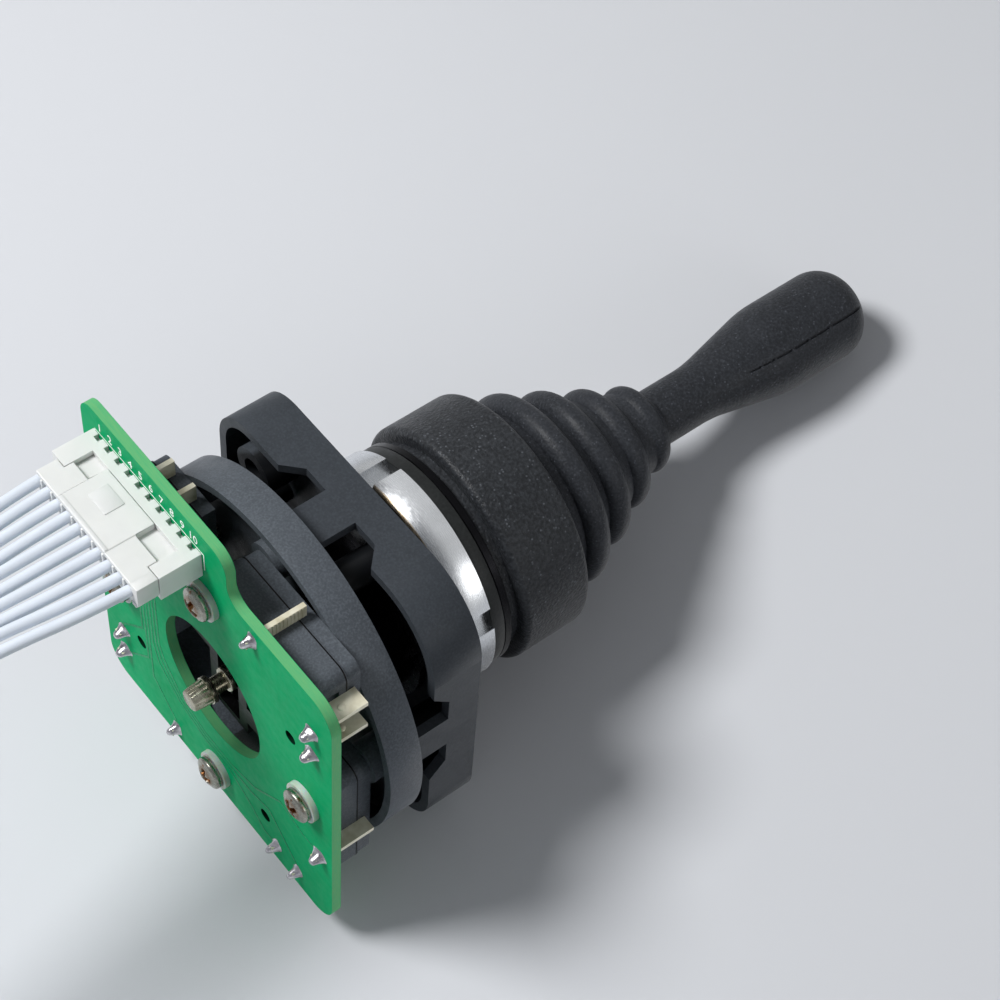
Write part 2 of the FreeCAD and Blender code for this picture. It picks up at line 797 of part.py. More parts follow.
def tail_boxes(grow):
    """The narrow tails of the three blades, which go through the board; grow widens them to slots."""
    half = blade_thickness / 2 + grow
    low, high = -board_rear - tail_length, -board_front
    outer = -block_outer - side_blade_width + tail_edge
    made = [
        (
            (side_blade_x - half, outer - grow, low),
            (side_blade_x + half, outer + tail_width + grow, high),
        )
    ]
    end = block_far + end_blade_width - end_tail_edge
    for y in (end_blade_one, end_blade_two):
        made.append(((end - tail_width - grow, -y - half, low), (end + grow, -y + half, high)))
    return made


def solder_spots():
    """The centre of each blade tail of the block on the -Y side."""
    spots = []
    for low, high in tail_boxes(zero):
        spots.append(((low[0] + high[0]) / 2, (low[1] + high[1]) / 2))
    return spots


def pin_places():
    return [first_pin_x + pin_pitch * k for k in range(10)]


def make_solder():
    """Twelve cones round the blade tails behind the board, and ten small ones round the pins before it."""
    joints = []
    for turn in range(4):
        for (x, y), (low, high) in zip(solder_spots(), tail_boxes(zero)):
            drop = cone(
                "Solder",
                solder_tip,
                solder_radius,
                -board_rear - solder_height,
                -board_rear,
                x,
                y,
                turn,
            )
            joints.append(cut("Solder_joint", drop, [block("Solder_tail", low, high, turn)]))
    for x in pin_places():
        half = pin_side / 2
        top = -board_front + pin_side
        drop = cone("Pin_solder", pin_solder_foot, pin_solder_tip, -board_front, top, x, pin_row_y)
        hole = block(
            "Pin_solder_hole",
            (x - half, pin_row_y - half, -board_front),
            (x + half, pin_row_y + half, -board_front + pin_side),
        )
        joints.append(cut("Pin_joint", drop, [hole]))
    subpart(together("Solder_joints", joints), "solder_joints")


def make_board():
    outline_points = [
        (-board_left, -tab_y),
        (tab_x, -tab_y),
        (tab_x, -board_half),
        (board_half, -board_half),
        (board_half, board_far_y),
        (-board_left, board_far_y),
    ]
    rounds = [
        ([(-board_left, -tab_y), (tab_x, -tab_y), (tab_x, -board_half)], tab_round),
        ([(board_half, -board_half), (board_half, board_far_y), (-board_left, board_far_y)], board_round),
    ]
    plate = prism("Board_plate", outline_points, -board_rear, -board_front, rounds)
    holes = [cylinder("Board_opening", board_hole, -board_rear, -board_front)]
    for turn in range(4):
        radius = screw_radius + screw_clearance
        holes.append(
            cylinder("Board_screw_hole", radius, -board_rear, -board_front, zero, -screw_circle, turn)
        )
        holes.append(
            cylinder("Peg_hole", peg_hole_radius, -board_rear, -board_front, peg_hole_x, -peg_hole_y, turn)
        )
        for low, high in tail_boxes(running_gap):
            holes.append(block("Tail_slot", low, high, turn))
    for x in pin_places():
        reach = pin_side / 2 + running_gap
        holes.append(
            block(
                "Pin_hole",
                (x - reach, pin_row_y - reach, -board_rear),
                (x + reach, pin_row_y + reach, -board_front),
            )
        )
    subpart(cut("Board", plate, holes), "circuit_board")


def make_board_screws():
    """Pan-head screws with a cross recess, each on a pale washer."""
    screws = []
    washers = []
    seat = -board_rear - washer_thickness
    head_top = seat - screw_head_height
    for turn in range(4):
        profile = [
            (zero, head_top),
            (screw_head, head_top),
            (screw_head, seat),
            (screw_radius, seat),
            (screw_radius, -board_rear + screw_length),
            (zero, -board_rear + screw_length),
        ]
        screw = turned("Board_screw", profile, [(screw_head, head_top, screw_head_round)])
        recess = []
        for wide, long in ((recess_width, recess_length), (recess_length, recess_width)):
            recess.append(
                block(
                    "Cross",
                    (-wide / 2, -long / 2, head_top),
                    (wide / 2, long / 2, head_top + recess_depth),
                )
            )
        made = cut("Board_screw_cut", screw, recess)
        place(made, zero, -screw_circle, zero, turn)
        screws.append(made)
        ring = cylinder("Washer_disc", washer_radius, seat, -board_rear, zero, -screw_circle, turn)
        radius = screw_radius + screw_clearance
        hole = cylinder("Washer_hole", radius, seat, -board_rear, zero, -screw_circle, turn)
        washers.append(cut("Washer", ring, [hole]))
    subpart(together("Board_screws", screws), "board_screws")
    subpart(together("Washers", washers), "screw_washers")


def make_header():
    """The pin header on the board's rear face, with a slotted latch wall and a window at each pin."""
    pins = pin_places()
    x_low, x_high = pins[0] - header_end_margin, pins[-1] + header_end_margin
    y_low, y_high = pin_row_y - header_front_margin, pin_row_y + header_rear_margin
    end = -board_rear - header_height
    shell = block("Header_shell", (x_low, y_low, end), (x_high, y_high, -board_rear))
    hollow = block(
        "Header_hollow",
        (x_low + header_end_wall, y_low + header_wall, end),
        (x_high - header_end_wall, y_high - header_wall, -board_rear - header_floor),
    )
    latch = block(
        "Header_latch_slot",
        (x_low + slot_start, y_low, end),
        (x_high - slot_end, y_low + header_wall, end + slot_depth),
    )
    cuts = [hollow, latch]
    metal = []
    for x in pins:
        half = pin_side / 2
        cuts.append(
            block(
                "Header_pin_hole",
                (x - half, pin_row_y - half, -board_rear - header_floor),
                (x + half, pin_row_y + half, -board_rear),
            )
        )
        cuts.append(
            block(
                "Header_foot",
                (x - foot_window_width / 2, y_low, -board_rear - foot_window_height),
                (x + foot_window_width / 2, y_low + header_wall, -board_rear),
            )
        )
        metal.append(
            block(
                "Header_pin",
                (x - half, pin_row_y - half, -board_rear - pin_inside_header),
                (x + half, pin_row_y + half, -board_front + pin_above_board),
            )
        )
    subpart(cut("Header", shell, cuts), "connector_header")
    subpart(together("Header_pins", metal), "header_pins")


def make_plug():
    """The plug in the header, with its latch rib, its outer lip and a pocket for each wire."""
    pins = pin_places()
    x_low = pins[0] - header_end_margin + header_end_wall + plug_gap
    x_high = pins[-1] + header_end_margin - header_end_wall - plug_gap
    y_low = pin_row_y - header_front_margin + header_wall + plug_gap
    y_high = pin_row_y + header_rear_margin - header_wall - plug_gap
    header_end = -board_rear - header_height
    rear = header_end - plug_rise
    front = -board_rear - header_floor - plug_gap
    core = block("Plug_core", (x_low, y_low, rear), (x_high, y_high, front))
    slot_low = pins[0] - header_end_margin + slot_start
    slot_high = pins[-1] + header_end_margin - slot_end
    latch_top = header_end + slot_depth - plug_gap
    face = pin_row_y - header_front_margin - plug_gap
    rib = block(
        "Plug_rib",
        (slot_low + rib_margin, face, rear),
        (slot_high - rib_far_margin, y_low, latch_top),
    )
    lip = block("Plug_lip", (x_low, face + plug_gap, rear), (x_high, y_low, header_end - plug_gap))
    tongue = block(
        "Plug_tongue",
        (slot_low + plug_gap, face + plug_gap, header_end - plug_gap),
        (slot_high - plug_gap, y_low, header_end + plug_lip_depth),
    )
    cuts = []
    half = pocket_side / 2
    for x in pins:
        pocket_low = (x - half, pin_row_y - half, rear)
        pocket_high = (x + half, pin_row_y + half, rear + pocket_depth)
        cuts.append(block("Plug_pocket", pocket_low, pocket_high))
        slot = pin_side / 2 + running_gap
        cuts.append(
            block(
                "Plug_bore",
                (x - slot, pin_row_y - slot, -board_rear - pin_inside_header - running_gap),
                (x + slot, pin_row_y + slot, front),
            )
        )
    whole = fuse("Plug_whole", [core, rib, lip, tongue])
    subpart(cut("Plug", whole, cuts), "connector_plug")


# The wires' routes. Each wire leaves its pocket straight down, the ten gather into a loose
# double-row bundle, and the tinned ends part again. Along the bundle: the drop below the plug,
# how much of the pitch is left, and how far alternate wires stand to the front and to the rear.
wire_drops = (0.0, 8.0, 22.0, 46.0, 72.0, 98.0, 124.0, 150.0)
wire_gather = (1.0, 0.985, 0.77, 0.56, 0.47, 0.47, 0.5, 0.62)
wire_stagger = (0.0, 0.0, 0.3, 0.95, 1.15, 1.1, 1.0, 0.7)
wire_sway = (0.0, 0.0, 0.2, 1.0, 2.2, 2.4, 1.6, 0.6)
wire_wander = (0.0, 0.0, 0.06, -0.16, 0.19, -0.15, 0.17, -0.1)


def wire_points(k):
    """The route of one wire, from the bottom of its pocket to its end."""
    start = -(board_rear + header_height + plug_rise - pocket_depth).value
    pins = [place_x.value for place_x in pin_places()]
    middle = sum(pins) / len(pins)
    side = 1 if k % 2 else -1
    points = []
    for n, drop in enumerate(wire_drops):
        wander = wire_wander[n] * math.sin(2.1 * k + n)
        x = middle + (pins[k] - middle) * wire_gather[n] + wire_sway[n] * 0.6 + wander
        y = pin_row_y.value + side * wire_stagger[n] + wire_sway[n] + wander
        uneven = 1.5 * math.sin(1.7 * k) if n == len(wire_drops) - 1 else 0.0
        points.append(Vector(x, y, start - drop - uneven))
    return points


def tube(points, radius):
    """A round tube along straight runs joined by tangent arcs, and the smallest arc radius."""
    edges = []
    radii = []
    start = points[0]
    for before, corner, after in zip(points, points[1:], points[2:]):
        to_before, to_after = before - corner, after - corner
        turn = math.pi - to_before.getAngle(to_after)
        trim = 0.45 * min(to_before.Length, to_after.Length)
        radii.append(trim / math.tan(turn / 2))
        enter = corner + Vector(to_before).normalize() * trim
        leave = corner + Vector(to_after).normalize() * trim
        half_way = (Vector(to_before).normalize() + Vector(to_after).normalize()).normalize()
        middle = corner + half_way * (radii[-1] / math.cos(turn / 2) - radii[-1])
        edges.append(Part.LineSegment(start, enter).toShape())
        edges.append(Part.Arc(enter, middle, leave).toShape())
        start = leave
    edges.append(Part.LineSegment(start, points[-1]).toShape())
    path = Part.Wire(edges)
    ring = Part.Wire([Part.Circle(points[0], points[1] - points[0], radius).toShape()])
    solid = path.makePipeShell([ring], True, True)
    expected = math.pi * radius**2 * path.Length
    if abs(solid.Volume - expected) > 0.01 * expected:
        raise RuntimeError("a wire's volume is not its section times its length")
    return solid, path.Length, min(radii)


def make_wires():
    for k in range(10):
        shape, length, bend = tube(wire_points(k), wire_radius.value)
        wire = doc.addObject("Part::Feature", f"Wire_{k + 1:02d}")
        wire.Shape = shape
        subpart(wire, f"wire_{k + 1:02d}")
        print(f"wire {k + 1}: length {length:.1f} mm, smallest radius {bend:.1f} mm")


def make_gimbal():
    """The ring that rocks about Y in the barrel, with its two trunnion pins."""
    low, high = -pivot_depth - gimbal_height / 2, -pivot_depth + gimbal_height / 2
    ring = turned("Gimbal", rectangle(gimbal_inner, gimbal_outer, low, high))
    bore_radius = pivot_pin_radius + running_gap
    lever_bore = cross_cylinder(
        "Gimbal_bore", bore_radius, -gimbal_outer, gimbal_outer, -pivot_depth, along_y=False
    )
    trunnion_bore = cross_cylinder(
        "Gimbal_seat", pivot_pin_radius, -gimbal_outer, gimbal_outer, -pivot_depth, along_y=True
    )
    subpart(cut("Gimbal_ring", ring, [lever_bore, trunnion_bore]), "gimbal_ring")
    pins = []
    inner, outer = gimbal_inner + loose_gap * 2, barrel_bore + trunnion_reach
    for start, end in ((-outer, -inner), (inner, outer)):
        pins.append(cross_cylinder("Trunnion", pivot_pin_radius, start, end, -pivot_depth, along_y=True))
    subpart(together("Trunnions", pins), "gimbal_pins")


def make_lever():
    """The steel rod with its hub, its thin tail with a drum behind the board, and its cross pin."""
    tip = -board_rear - rod_below_board
    step = -pivot_depth - rod_step
    neck_rear = -board_rear - tail_neck_rear
    neck_front = -board_front + tail_neck_front
    profile = [
        (zero, tip),
        (drum_tip_radius - rod_end_chamfer, tip),
        (drum_tip_radius, tip + rod_end_chamfer),
        (drum_base_radius, neck_rear),
        (tail_neck_radius, neck_rear),
        (tail_neck_radius, neck_front),
        (tail_rod_radius, neck_front),
        (tail_rod_radius, step - rod_end_chamfer * 2),
        (rod_radius, step),
        (rod_radius, rod_top),
        (zero, rod_top),
    ]
    rod = turned("Lever_profile", profile)
    hub = doc.addObject("Part::Sphere", "Hub")
    bind(hub, "Radius", hub_radius)
    bind(hub, "Placement.Base.z", -pivot_depth)
    bore = cross_cylinder(
        "Lever_bore", pivot_pin_radius, -hub_radius, hub_radius, -pivot_depth, along_y=False
    )
    subpart(cut("Lever", fuse("Lever_whole", [rod, hub]), [bore]), "lever_rod")
    end = gimbal_outer - loose_gap
    pin = cross_cylinder("Lever_pin", pivot_pin_radius, -end, end, -pivot_depth, along_y=False)
    subpart(pin, "lever_pin")


def make_slider(name, label, depth, turn):
    """A slotted plate that the lever's tail pushes along X, with a nose into a block at each end."""
    low, high = -depth - slider_thickness / 2, -depth + slider_thickness / 2
    slot_half = tail_rod_radius + slider_slot_gap
    slot_long = tail_rod_radius + slider_slot_gap + slider_reach
    plate_half = slot_half + slider_wall
    plate_long = slot_long + slider_end_wall
    plate = block(
        f"{name}_plate", (-plate_half, -plate_long, low), (plate_half, plate_long, high), turn
    )
    slot = block(f"{name}_slot", (-slot_half, -slot_long, low), (slot_half, slot_long, high), turn)
    noses = []
    reach = block_inner + slider_reach
    for side in (turn, turn + 2):
        nose_low = (plate_half - slider_wall / 2, nose_offset - nose_width / 2, low)
        nose_high = (reach, nose_offset + nose_width / 2, high)
        noses.append(block(f"{name}_nose", nose_low, nose_high, side))
    whole = fuse(f"{name}_whole", [plate] + noses)
    subpart(cut(name, whole, [slot]), label)


def make_spring():
    """The conical return spring between its seat ring in the barrel and the stop on the lever."""
    seat_low = neck_top - seat_depth
    seat_top = seat_low + seat_ring_thickness
    ring = turned("Seat_ring", rectangle(seat_ring_hole, seat_radius - running_gap, seat_low, seat_top))
    subpart(ring, "spring_seat")
    base = seat_top.value + spring_wire_radius.value
    height = spring_height.value - 2 * spring_wire_radius.value
    steps = int(spring_turns.value * 16)
    coil = []
    for k in range(steps + 1):
        along = k / steps
        angle = 2 * math.pi * spring_turns.value * along
        radius = spring_base_radius.value + (spring_top_radius.value - spring_base_radius.value) * along
        coil.append(Vector(radius * math.cos(angle), radius * math.sin(angle), height * along))
    arcs = [Part.Arc(*coil[k : k + 3]).toShape() for k in range(0, steps, 2)]
    start = arcs[0].tangentAt(arcs[0].FirstParameter)
    section = Part.Wire([Part.Circle(coil[0], start, spring_wire_radius.value).toShape()])
    shape = Part.Wire(arcs).makePipeShell([section], True, True)
    spring = doc.addObject("Part::Feature", "Spring")
    spring.Shape = shape
    spring.Placement = Placement(Vector(0, 0, base), Rotation())
    subpart(spring, "return_spring")
    stop_low = seat_top + spring_height
    stop = turned("Stop", rectangle(rod_radius, stop_radius, stop_low, stop_low + stop_thickness))
    subpart(stop, "spring_stop")


def make_boot():
    """The rubber bellows: a bead in the collar, four rolls that step inward, and a neck on the handle."""
    neck_inner = handle_neck_radius + soft_gap
    bead = neck_radius - soft_gap
    lip_rear = collar_front - collar_lip - soft_gap
    outside = [
        (boot_waist_radius - boot_wall, boot_base),
        (bead, boot_base),
        (bead, lip_rear),
        (boot_waist_radius, lip_rear),
        (boot_waist_radius, boot_shoulder_z),
        (neck_inner + boot_neck_wall, boot_neck_z),
        (neck_inner + boot_neck_wall, boot_top_z),
        (neck_inner, boot_top_z),
        (neck_inner, boot_neck_z - boot_wall),
        (boot_waist_radius - boot_wall, boot_shoulder_z - boot_wall),
    ]
    skin = turned("Boot_skin", outside)
    rolls = []
    for k, radius in enumerate((ring_one_radius, ring_two_radius, ring_three_radius, ring_four_radius)):
        roll = doc.addObject("Part::Torus", "Boot_roll")
        bind(roll, "Radius1", radius - ring_bulge)
        bind(roll, "Radius2", ring_bulge)
        bind(roll, "Placement.Base.z", ring_one_z + ring_pitch * k)
        rolls.append(roll)
    inside = [
        (zero, boot_base),
        (boot_waist_radius - boot_wall, boot_base),
        (boot_waist_radius - boot_wall, boot_shoulder_z - boot_wall),
        (neck_inner, boot_neck_z - boot_wall),
        (neck_inner, boot_top_z),
        (zero, boot_top_z),
    ]
    hollow = turned("Boot_hollow", inside)
    whole = fuse("Boot_whole", [skin] + rolls)
    subpart(cut("Boot", whole, [hollow]), "bellows_boot")


def make_handle():
    """The moulded handle: a slim neck, a flare, a full grip and a domed tip, with its parting line."""
    profile = [
        (rod_radius, handle_base_z),
        (handle_neck_radius, handle_base_z),
        (handle_neck_radius, handle_flare_start),
        (handle_grip_radius, handle_flare_end),
        (handle_grip_radius, handle_top_z),
        (zero, handle_top_z),
        (zero, rod_top),
        (rod_radius, rod_top),
    ]
    rounds = [
        (handle_grip_radius, handle_top_z, handle_tip_round),
        (handle_neck_radius, handle_flare_start, handle_blend),
        (handle_grip_radius, handle_flare_end, handle_blend),
    ]
    grip = turned("Grip", profile, rounds)
    seams = []
    for turn in (0, 180):
        seam = doc.addObject("Part::Box", "Seam")
        bind(seam, "Length", seam_depth * 2)
        bind(seam, "Width", seam_width)
        bind(seam, "Height", seam_high - seam_low)
        angle = math.radians(seam_angle.value + turn)
        reach = handle_grip_radius.value - seam_depth.value
        half = seam_width.value / 2
        x = reach * math.cos(angle) + half * math.sin(angle)
        y = reach * math.sin(angle) - half * math.cos(angle)
        seam.Placement = Placement(
            Vector(x, y, seam_low.value), Rotation(Vector(0, 0, 1), seam_angle.value + turn)
        )
        seams.append(seam)
    subpart(cut("Handle", grip, seams), "handle_grip")


def build():
    make_gasket()
    make_barrel()
    make_clip()
    make_ring_nut()
    make_collar()
    make_bracket()
    make_carrier()
    make_tie_screws()
    for turn, side in enumerate(("south", "east", "north", "west")):
        make_contact_block(turn, side)
    make_board()
    make_board_screws()
    make_solder()
    make_header()
    make_plug()
    make_wires()
    make_gimbal()
    make_lever()
    make_slider("Slider_x", "slider_x", slider_x_depth, 0)
    make_slider("Slider_y", "slider_y", slider_y_depth, 1)
    make_spring()
    make_boot()
    make_handle()
    doc.recompute()


def check_and_write():
    faults = []
    for item in doc.Objects:
        if "Invalid" in item.State or "Error" in item.State:
            faults.append(f"{item.Name}: {item.State}")
    for item in subparts:
        if item.Shape.isNull() or not item.Shape.isValid():
            faults.append(f"{item.Label}: bad shape")
    if faults:
        raise RuntimeError("; ".join(faults))
    os.makedirs("parts", exist_ok=True)
    for item in subparts:
        item.Shape.exportStep(f"parts/{item.Label}.step")
    print(len(subparts), "sub-parts written")


build()
check_and_write()
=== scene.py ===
import json
import math
import random

import bmesh
import bpy
from mathutils import Matrix, Vector


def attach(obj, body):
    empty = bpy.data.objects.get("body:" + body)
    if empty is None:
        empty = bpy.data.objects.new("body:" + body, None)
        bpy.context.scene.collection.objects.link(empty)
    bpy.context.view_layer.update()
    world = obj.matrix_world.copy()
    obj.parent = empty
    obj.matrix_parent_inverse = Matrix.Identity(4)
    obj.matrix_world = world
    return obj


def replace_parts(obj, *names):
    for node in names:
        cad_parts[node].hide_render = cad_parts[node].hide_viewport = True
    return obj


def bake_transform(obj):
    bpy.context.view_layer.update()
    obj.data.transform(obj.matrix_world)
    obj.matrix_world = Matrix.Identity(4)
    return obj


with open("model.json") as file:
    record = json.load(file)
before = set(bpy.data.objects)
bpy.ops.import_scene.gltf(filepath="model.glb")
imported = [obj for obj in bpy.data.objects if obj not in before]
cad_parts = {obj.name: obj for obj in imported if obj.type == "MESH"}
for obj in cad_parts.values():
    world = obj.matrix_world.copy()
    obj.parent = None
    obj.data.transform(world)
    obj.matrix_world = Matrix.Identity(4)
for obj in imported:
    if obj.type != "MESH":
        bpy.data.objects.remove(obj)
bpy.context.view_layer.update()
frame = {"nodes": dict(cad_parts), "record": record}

nodes = frame["nodes"]
MM = 0.001

# Sizes of the part that several pieces share, in millimetres
SCREW_CIRCLE, SCREW_TOP = 22.8, -39.55
BOARD_FRONT, BOARD_REAR = -35.15, -36.75
BOARD_HALF, BOARD_HOLE = 27.0, 12.4
BRACKET_INNER_WALL, BRACKET_INNER_CORNER, BRACKET_PLATE_REAR = 24.2, 27.5, -10.35
LEVER_ROD, LEVER_TOP = 3.0, 75.0
WIRES, PIN_ONE_X, PITCH, PIN_Y = 10, -24.5, 2.5, -31.2


# Camera

def make_camera():
    """The photograph's camera in the part's frame: a 90 mm lens over a 36 mm square picture."""
    place = Vector((163.98773, -306.26457, -134.54481)) * MM
    right = Vector((0.61888259, -0.05326146, 0.78367567))
    down = Vector((0.65312819, 0.58914232, -0.47574667))
    forward = Vector((-0.43635754, 0.806272, 0.39939649))
    data = bpy.data.cameras.new("camera")
    data.lens = 90.0
    data.sensor_width = 36.0
    data.clip_start = 0.01
    data.clip_end = 20.0
    camera = bpy.data.objects.new("camera", data)
    bpy.context.scene.collection.objects.link(camera)
    axes = Matrix((right, -down, -forward)).transposed().to_4x4()
    camera.matrix_world = Matrix.Translation(place) @ axes
    bpy.context.scene.camera = camera
    return right, down, forward


RIGHT, DOWN, FORWARD = make_camera()


# Materials

materials = {}


def rgb(red, green, blue):
    """A colour, from screen bytes to linear light."""
    def linear(byte):
        share = byte / 255
        return share / 12.92 if share <= 0.04045 else ((share + 0.055) / 1.055) ** 2.4
    return (linear(red), linear(green), linear(blue), 1.0)


class Graph:
    """A material under its name, and short calls that add nodes to it."""

    def __init__(self, name, **sockets):
        self.material = bpy.data.materials.new(name)
        materials[name] = self.material
        self.material.use_nodes = True
        self.tree = self.material.node_tree
        self.shader = self.tree.nodes["Principled BSDF"]
        self.place = self.add("ShaderNodeTexCoord").outputs["Object"]
        for socket, value in sockets.items():
            self.shader.inputs[socket.replace("_", " ")].default_value = value

    def add(self, kind, **settings):
        node = self.tree.nodes.new(kind)
        for key, value in settings.items():
            setattr(node, key, value)
        return node

    def link(self, source, target):
        self.tree.links.new(source, target)

    def noise(self, scale, detail=2.0, stretch=None):
        """Cloudy noise, scale in features per metre."""
        node = self.add("ShaderNodeTexNoise")
        node.inputs["Scale"].default_value = scale
        node.inputs["Detail"].default_value = detail
        self.link(self.stretched(stretch), node.inputs["Vector"])
        return node.outputs["Fac"]

    def stretched(self, stretch):
        """The object's coordinates, each times its own factor."""
        if stretch is None:
            return self.place
        node = self.add("ShaderNodeMapping")
        node.inputs["Scale"].default_value = stretch
        self.link(self.place, node.inputs["Vector"])
        return node.outputs["Vector"]

    def cells(self, scale):
        """Distance to the nearest of many scattered points."""
        node = self.add("ShaderNodeTexVoronoi")
        node.inputs["Scale"].default_value = scale
        self.link(self.place, node.inputs["Vector"])
        return node.outputs["Distance"]

    def span(self, source, low, high, to_low=0.0, to_high=1.0):
        """The source between low and high, spread over another span and clamped."""
        node = self.add("ShaderNodeMapRange")
        ends = {"From Min": low, "From Max": high, "To Min": to_low, "To Max": to_high}
        for socket, value in ends.items():
            node.inputs[socket].default_value = value
        self.link(source, node.inputs["Value"])
        return node.outputs["Result"]

    def mix(self, share, first, second):
        """Colour first at 0, second at 1: each a colour or a link."""
        node = self.add("ShaderNodeMix", data_type="RGBA")
        self.link(share, node.inputs["Factor"])
        for socket, value in ((node.inputs[6], first), (node.inputs[7], second)):
            if isinstance(value, tuple):
                socket.default_value = value
            else:
                self.link(value, socket)
        return node.outputs[2]

    def combine(self, how, first, second=0.0):
        """One step of arithmetic on links and numbers."""
        node = self.add("ShaderNodeMath", operation=how)
        for socket, value in zip(node.inputs, (first, second)):
            if isinstance(value, (int, float)):
                socket.default_value = value
            else:
                self.link(value, socket)
        return node.outputs[0]

    def axis(self, letter):
        """One coordinate of the object, in metres."""
        node = self.add("ShaderNodeSeparateXYZ")
        self.link(self.place, node.inputs[0])
        return node.outputs[letter]

    def sides(self):
        """The distances from the two middle planes, in X and in Y."""
        return self.combine("ABSOLUTE", self.axis("X")), self.combine("ABSOLUTE", self.axis("Y"))

    def length(self, first, second):
        """The long side of a right-angled triangle with these two short sides."""
        first_square = self.combine("MULTIPLY", first, first)
        second_square = self.combine("MULTIPLY", second, second)
        return self.combine("SQRT", self.combine("ADD", first_square, second_square))

    def bump(self, height, depth, after=None):
        """Raises the surface by the height's share of a depth in metres."""
        node = self.add("ShaderNodeBump")
        node.inputs["Distance"].default_value = depth
        self.link(height, node.inputs["Height"])
        if after:
            self.link(after, node.inputs["Normal"])
        return node.outputs["Normal"]

    def finish(self, colour, rough, normal):
        """Links the three things that every material here is made of."""
        for socket, source in (("Base Color", colour), ("Roughness", rough), ("Normal", normal)):
            self.link(source, self.shader.inputs[socket])


def shade(colour, factor):
    """The colour made lighter or darker."""
    return tuple(min(1.0, c * factor) for c in colour[:3]) + (1.0,)


def bracket_painted_shade(g):
    """1 within the bracket's shell behind its plate, where the moulding's colour is darkened as painted
    shade.
    """
    across, along = g.sides()
    wall, corner = BRACKET_INNER_WALL * MM, BRACKET_INNER_CORNER * MM
    walls = g.span(g.combine("MAXIMUM", across, along), wall + 0.1 * MM, wall - 0.1 * MM)
    corners = g.span(g.length(across, along), corner + 0.3 * MM, corner - 0.3 * MM)
    behind = g.span(g.axis("Z"), (BRACKET_PLATE_REAR + 0.05) * MM, (BRACKET_PLATE_REAR - 0.25) * MM)
    return g.combine("MULTIPLY", g.combine("MULTIPLY", walls, corners), behind)


def moulded(name, colour, rough, grain, depth, specular, specks=0.0, cloud=0.18, grit=0.3, inside=None):
    """Moulded plastic or rubber: fine grain, cloudy colour, scattered specks, uneven gloss and, where a
    mask is given, painted shade.
    """
    g = Graph(name, Specular_IOR_Level=specular)
    fine = g.noise(grain, 3.0)
    broad = g.noise(160.0, 2.0)
    tone = g.mix(g.span(broad, 0.3, 0.7), shade(colour, 1 - cloud), shade(colour, 1 + cloud))
    tone = g.mix(g.span(fine, 0.35, 0.5, grit, 0.0), tone, shade(colour, 0.3))
    tone = g.mix(g.span(fine, 0.5, 0.7), tone, shade(colour, 1 + 1.5 * grit))
    if specks:
        spots = g.span(g.cells(grain * 0.7), 0.1, 0.3, specks, 0.0)
        some = g.span(g.noise(grain * 0.35, 1.0), 0.48, 0.58)
        tone = g.mix(g.combine("MULTIPLY", spots, some), tone, shade(colour, 5.0))
    # Painted shade: the colour is darkened where the inside mask says shade falls.
    if inside:
        tone = g.mix(inside(g), tone, shade(colour, 0.15))
    gloss = g.span(g.noise(420.0, 3.0), 0.3, 0.7, rough - 0.07, rough + 0.07)
    normal = g.bump(fine, depth)
    normal = g.bump(g.noise(grain * 0.3, 2.0), depth * 0.3, normal)
    g.finish(tone, gloss, normal)


def metal(name, colour, rough, stretch=None, scale=900.0, scratch=0.000012, tint=None, patches=500.0,
          metallic=1.0):
    """Bare or plated metal: brushed or turned lines, dull patches and a little tarnish."""
    g = Graph(name, Metallic=metallic)
    lines = g.noise(scale, 4.0, stretch)
    patch = g.noise(patches, 2.0)
    tone = g.mix(g.span(patch, 0.35, 0.7), colour, tint or shade(colour, 0.82))
    gloss = g.span(lines, 0.3, 0.7, max(0.03, rough - 0.08), rough + 0.1)
    g.finish(tone, gloss, g.bump(lines, scratch))


def board_material():
    """Green solder mask over a faint weave; the laminate is pale at the rim, and painted shade makes it
    dark in small holes.
    """
    g = Graph("board_green", Specular_IOR_Level=0.02)
    mask = g.mix(g.span(g.noise(70.0, 2.0), 0.3, 0.7), rgb(0, 146, 88), rgb(0, 160, 100))
    warp = g.noise(1500.0, 1.0, (1.0, 0.15, 1.0))
    weft = g.noise(1500.0, 1.0, (0.15, 1.0, 1.0))
    weave = g.combine("MULTIPLY", warp, weft)
    mask = g.mix(g.span(weave, 0.2, 0.45, 0.0, 0.3), mask, rgb(10, 164, 108))
    across, along = g.sides()
    edge, hole = BOARD_HALF * MM, BOARD_HOLE * MM
    outer = g.span(g.combine("MAXIMUM", across, along), edge - 0.2 * MM, edge + 0.2 * MM)
    opening = g.span(g.length(across, along), hole + 0.2 * MM, hole - 0.2 * MM)
    rim = g.combine("MAXIMUM", outer, opening)
    height = g.axis("Z")
    over_rear = g.span(height, (BOARD_REAR + 0.01) * MM, (BOARD_REAR + 0.07) * MM)
    under_front = g.span(height, (BOARD_FRONT - 0.01) * MM, (BOARD_FRONT - 0.07) * MM)
    inside = g.combine("MULTIPLY", over_rear, under_front)
    layers = g.mix(g.noise(2600.0, 2.0, (0.2, 0.2, 3.0)), rgb(112, 172, 112), rgb(72, 168, 116))
    # Painted shade: the laminate in small holes, away from the rim, is coloured dark.
    layers = g.mix(rim, rgb(10, 34, 24), layers)
    tone = g.mix(inside, mask, layers)
    gloss = g.span(g.noise(700.0, 2.0), 0.3, 0.7, 0.3, 0.46)
    g.finish(tone, gloss, g.bump(g.noise(900.0, 2.0), 0.000006))


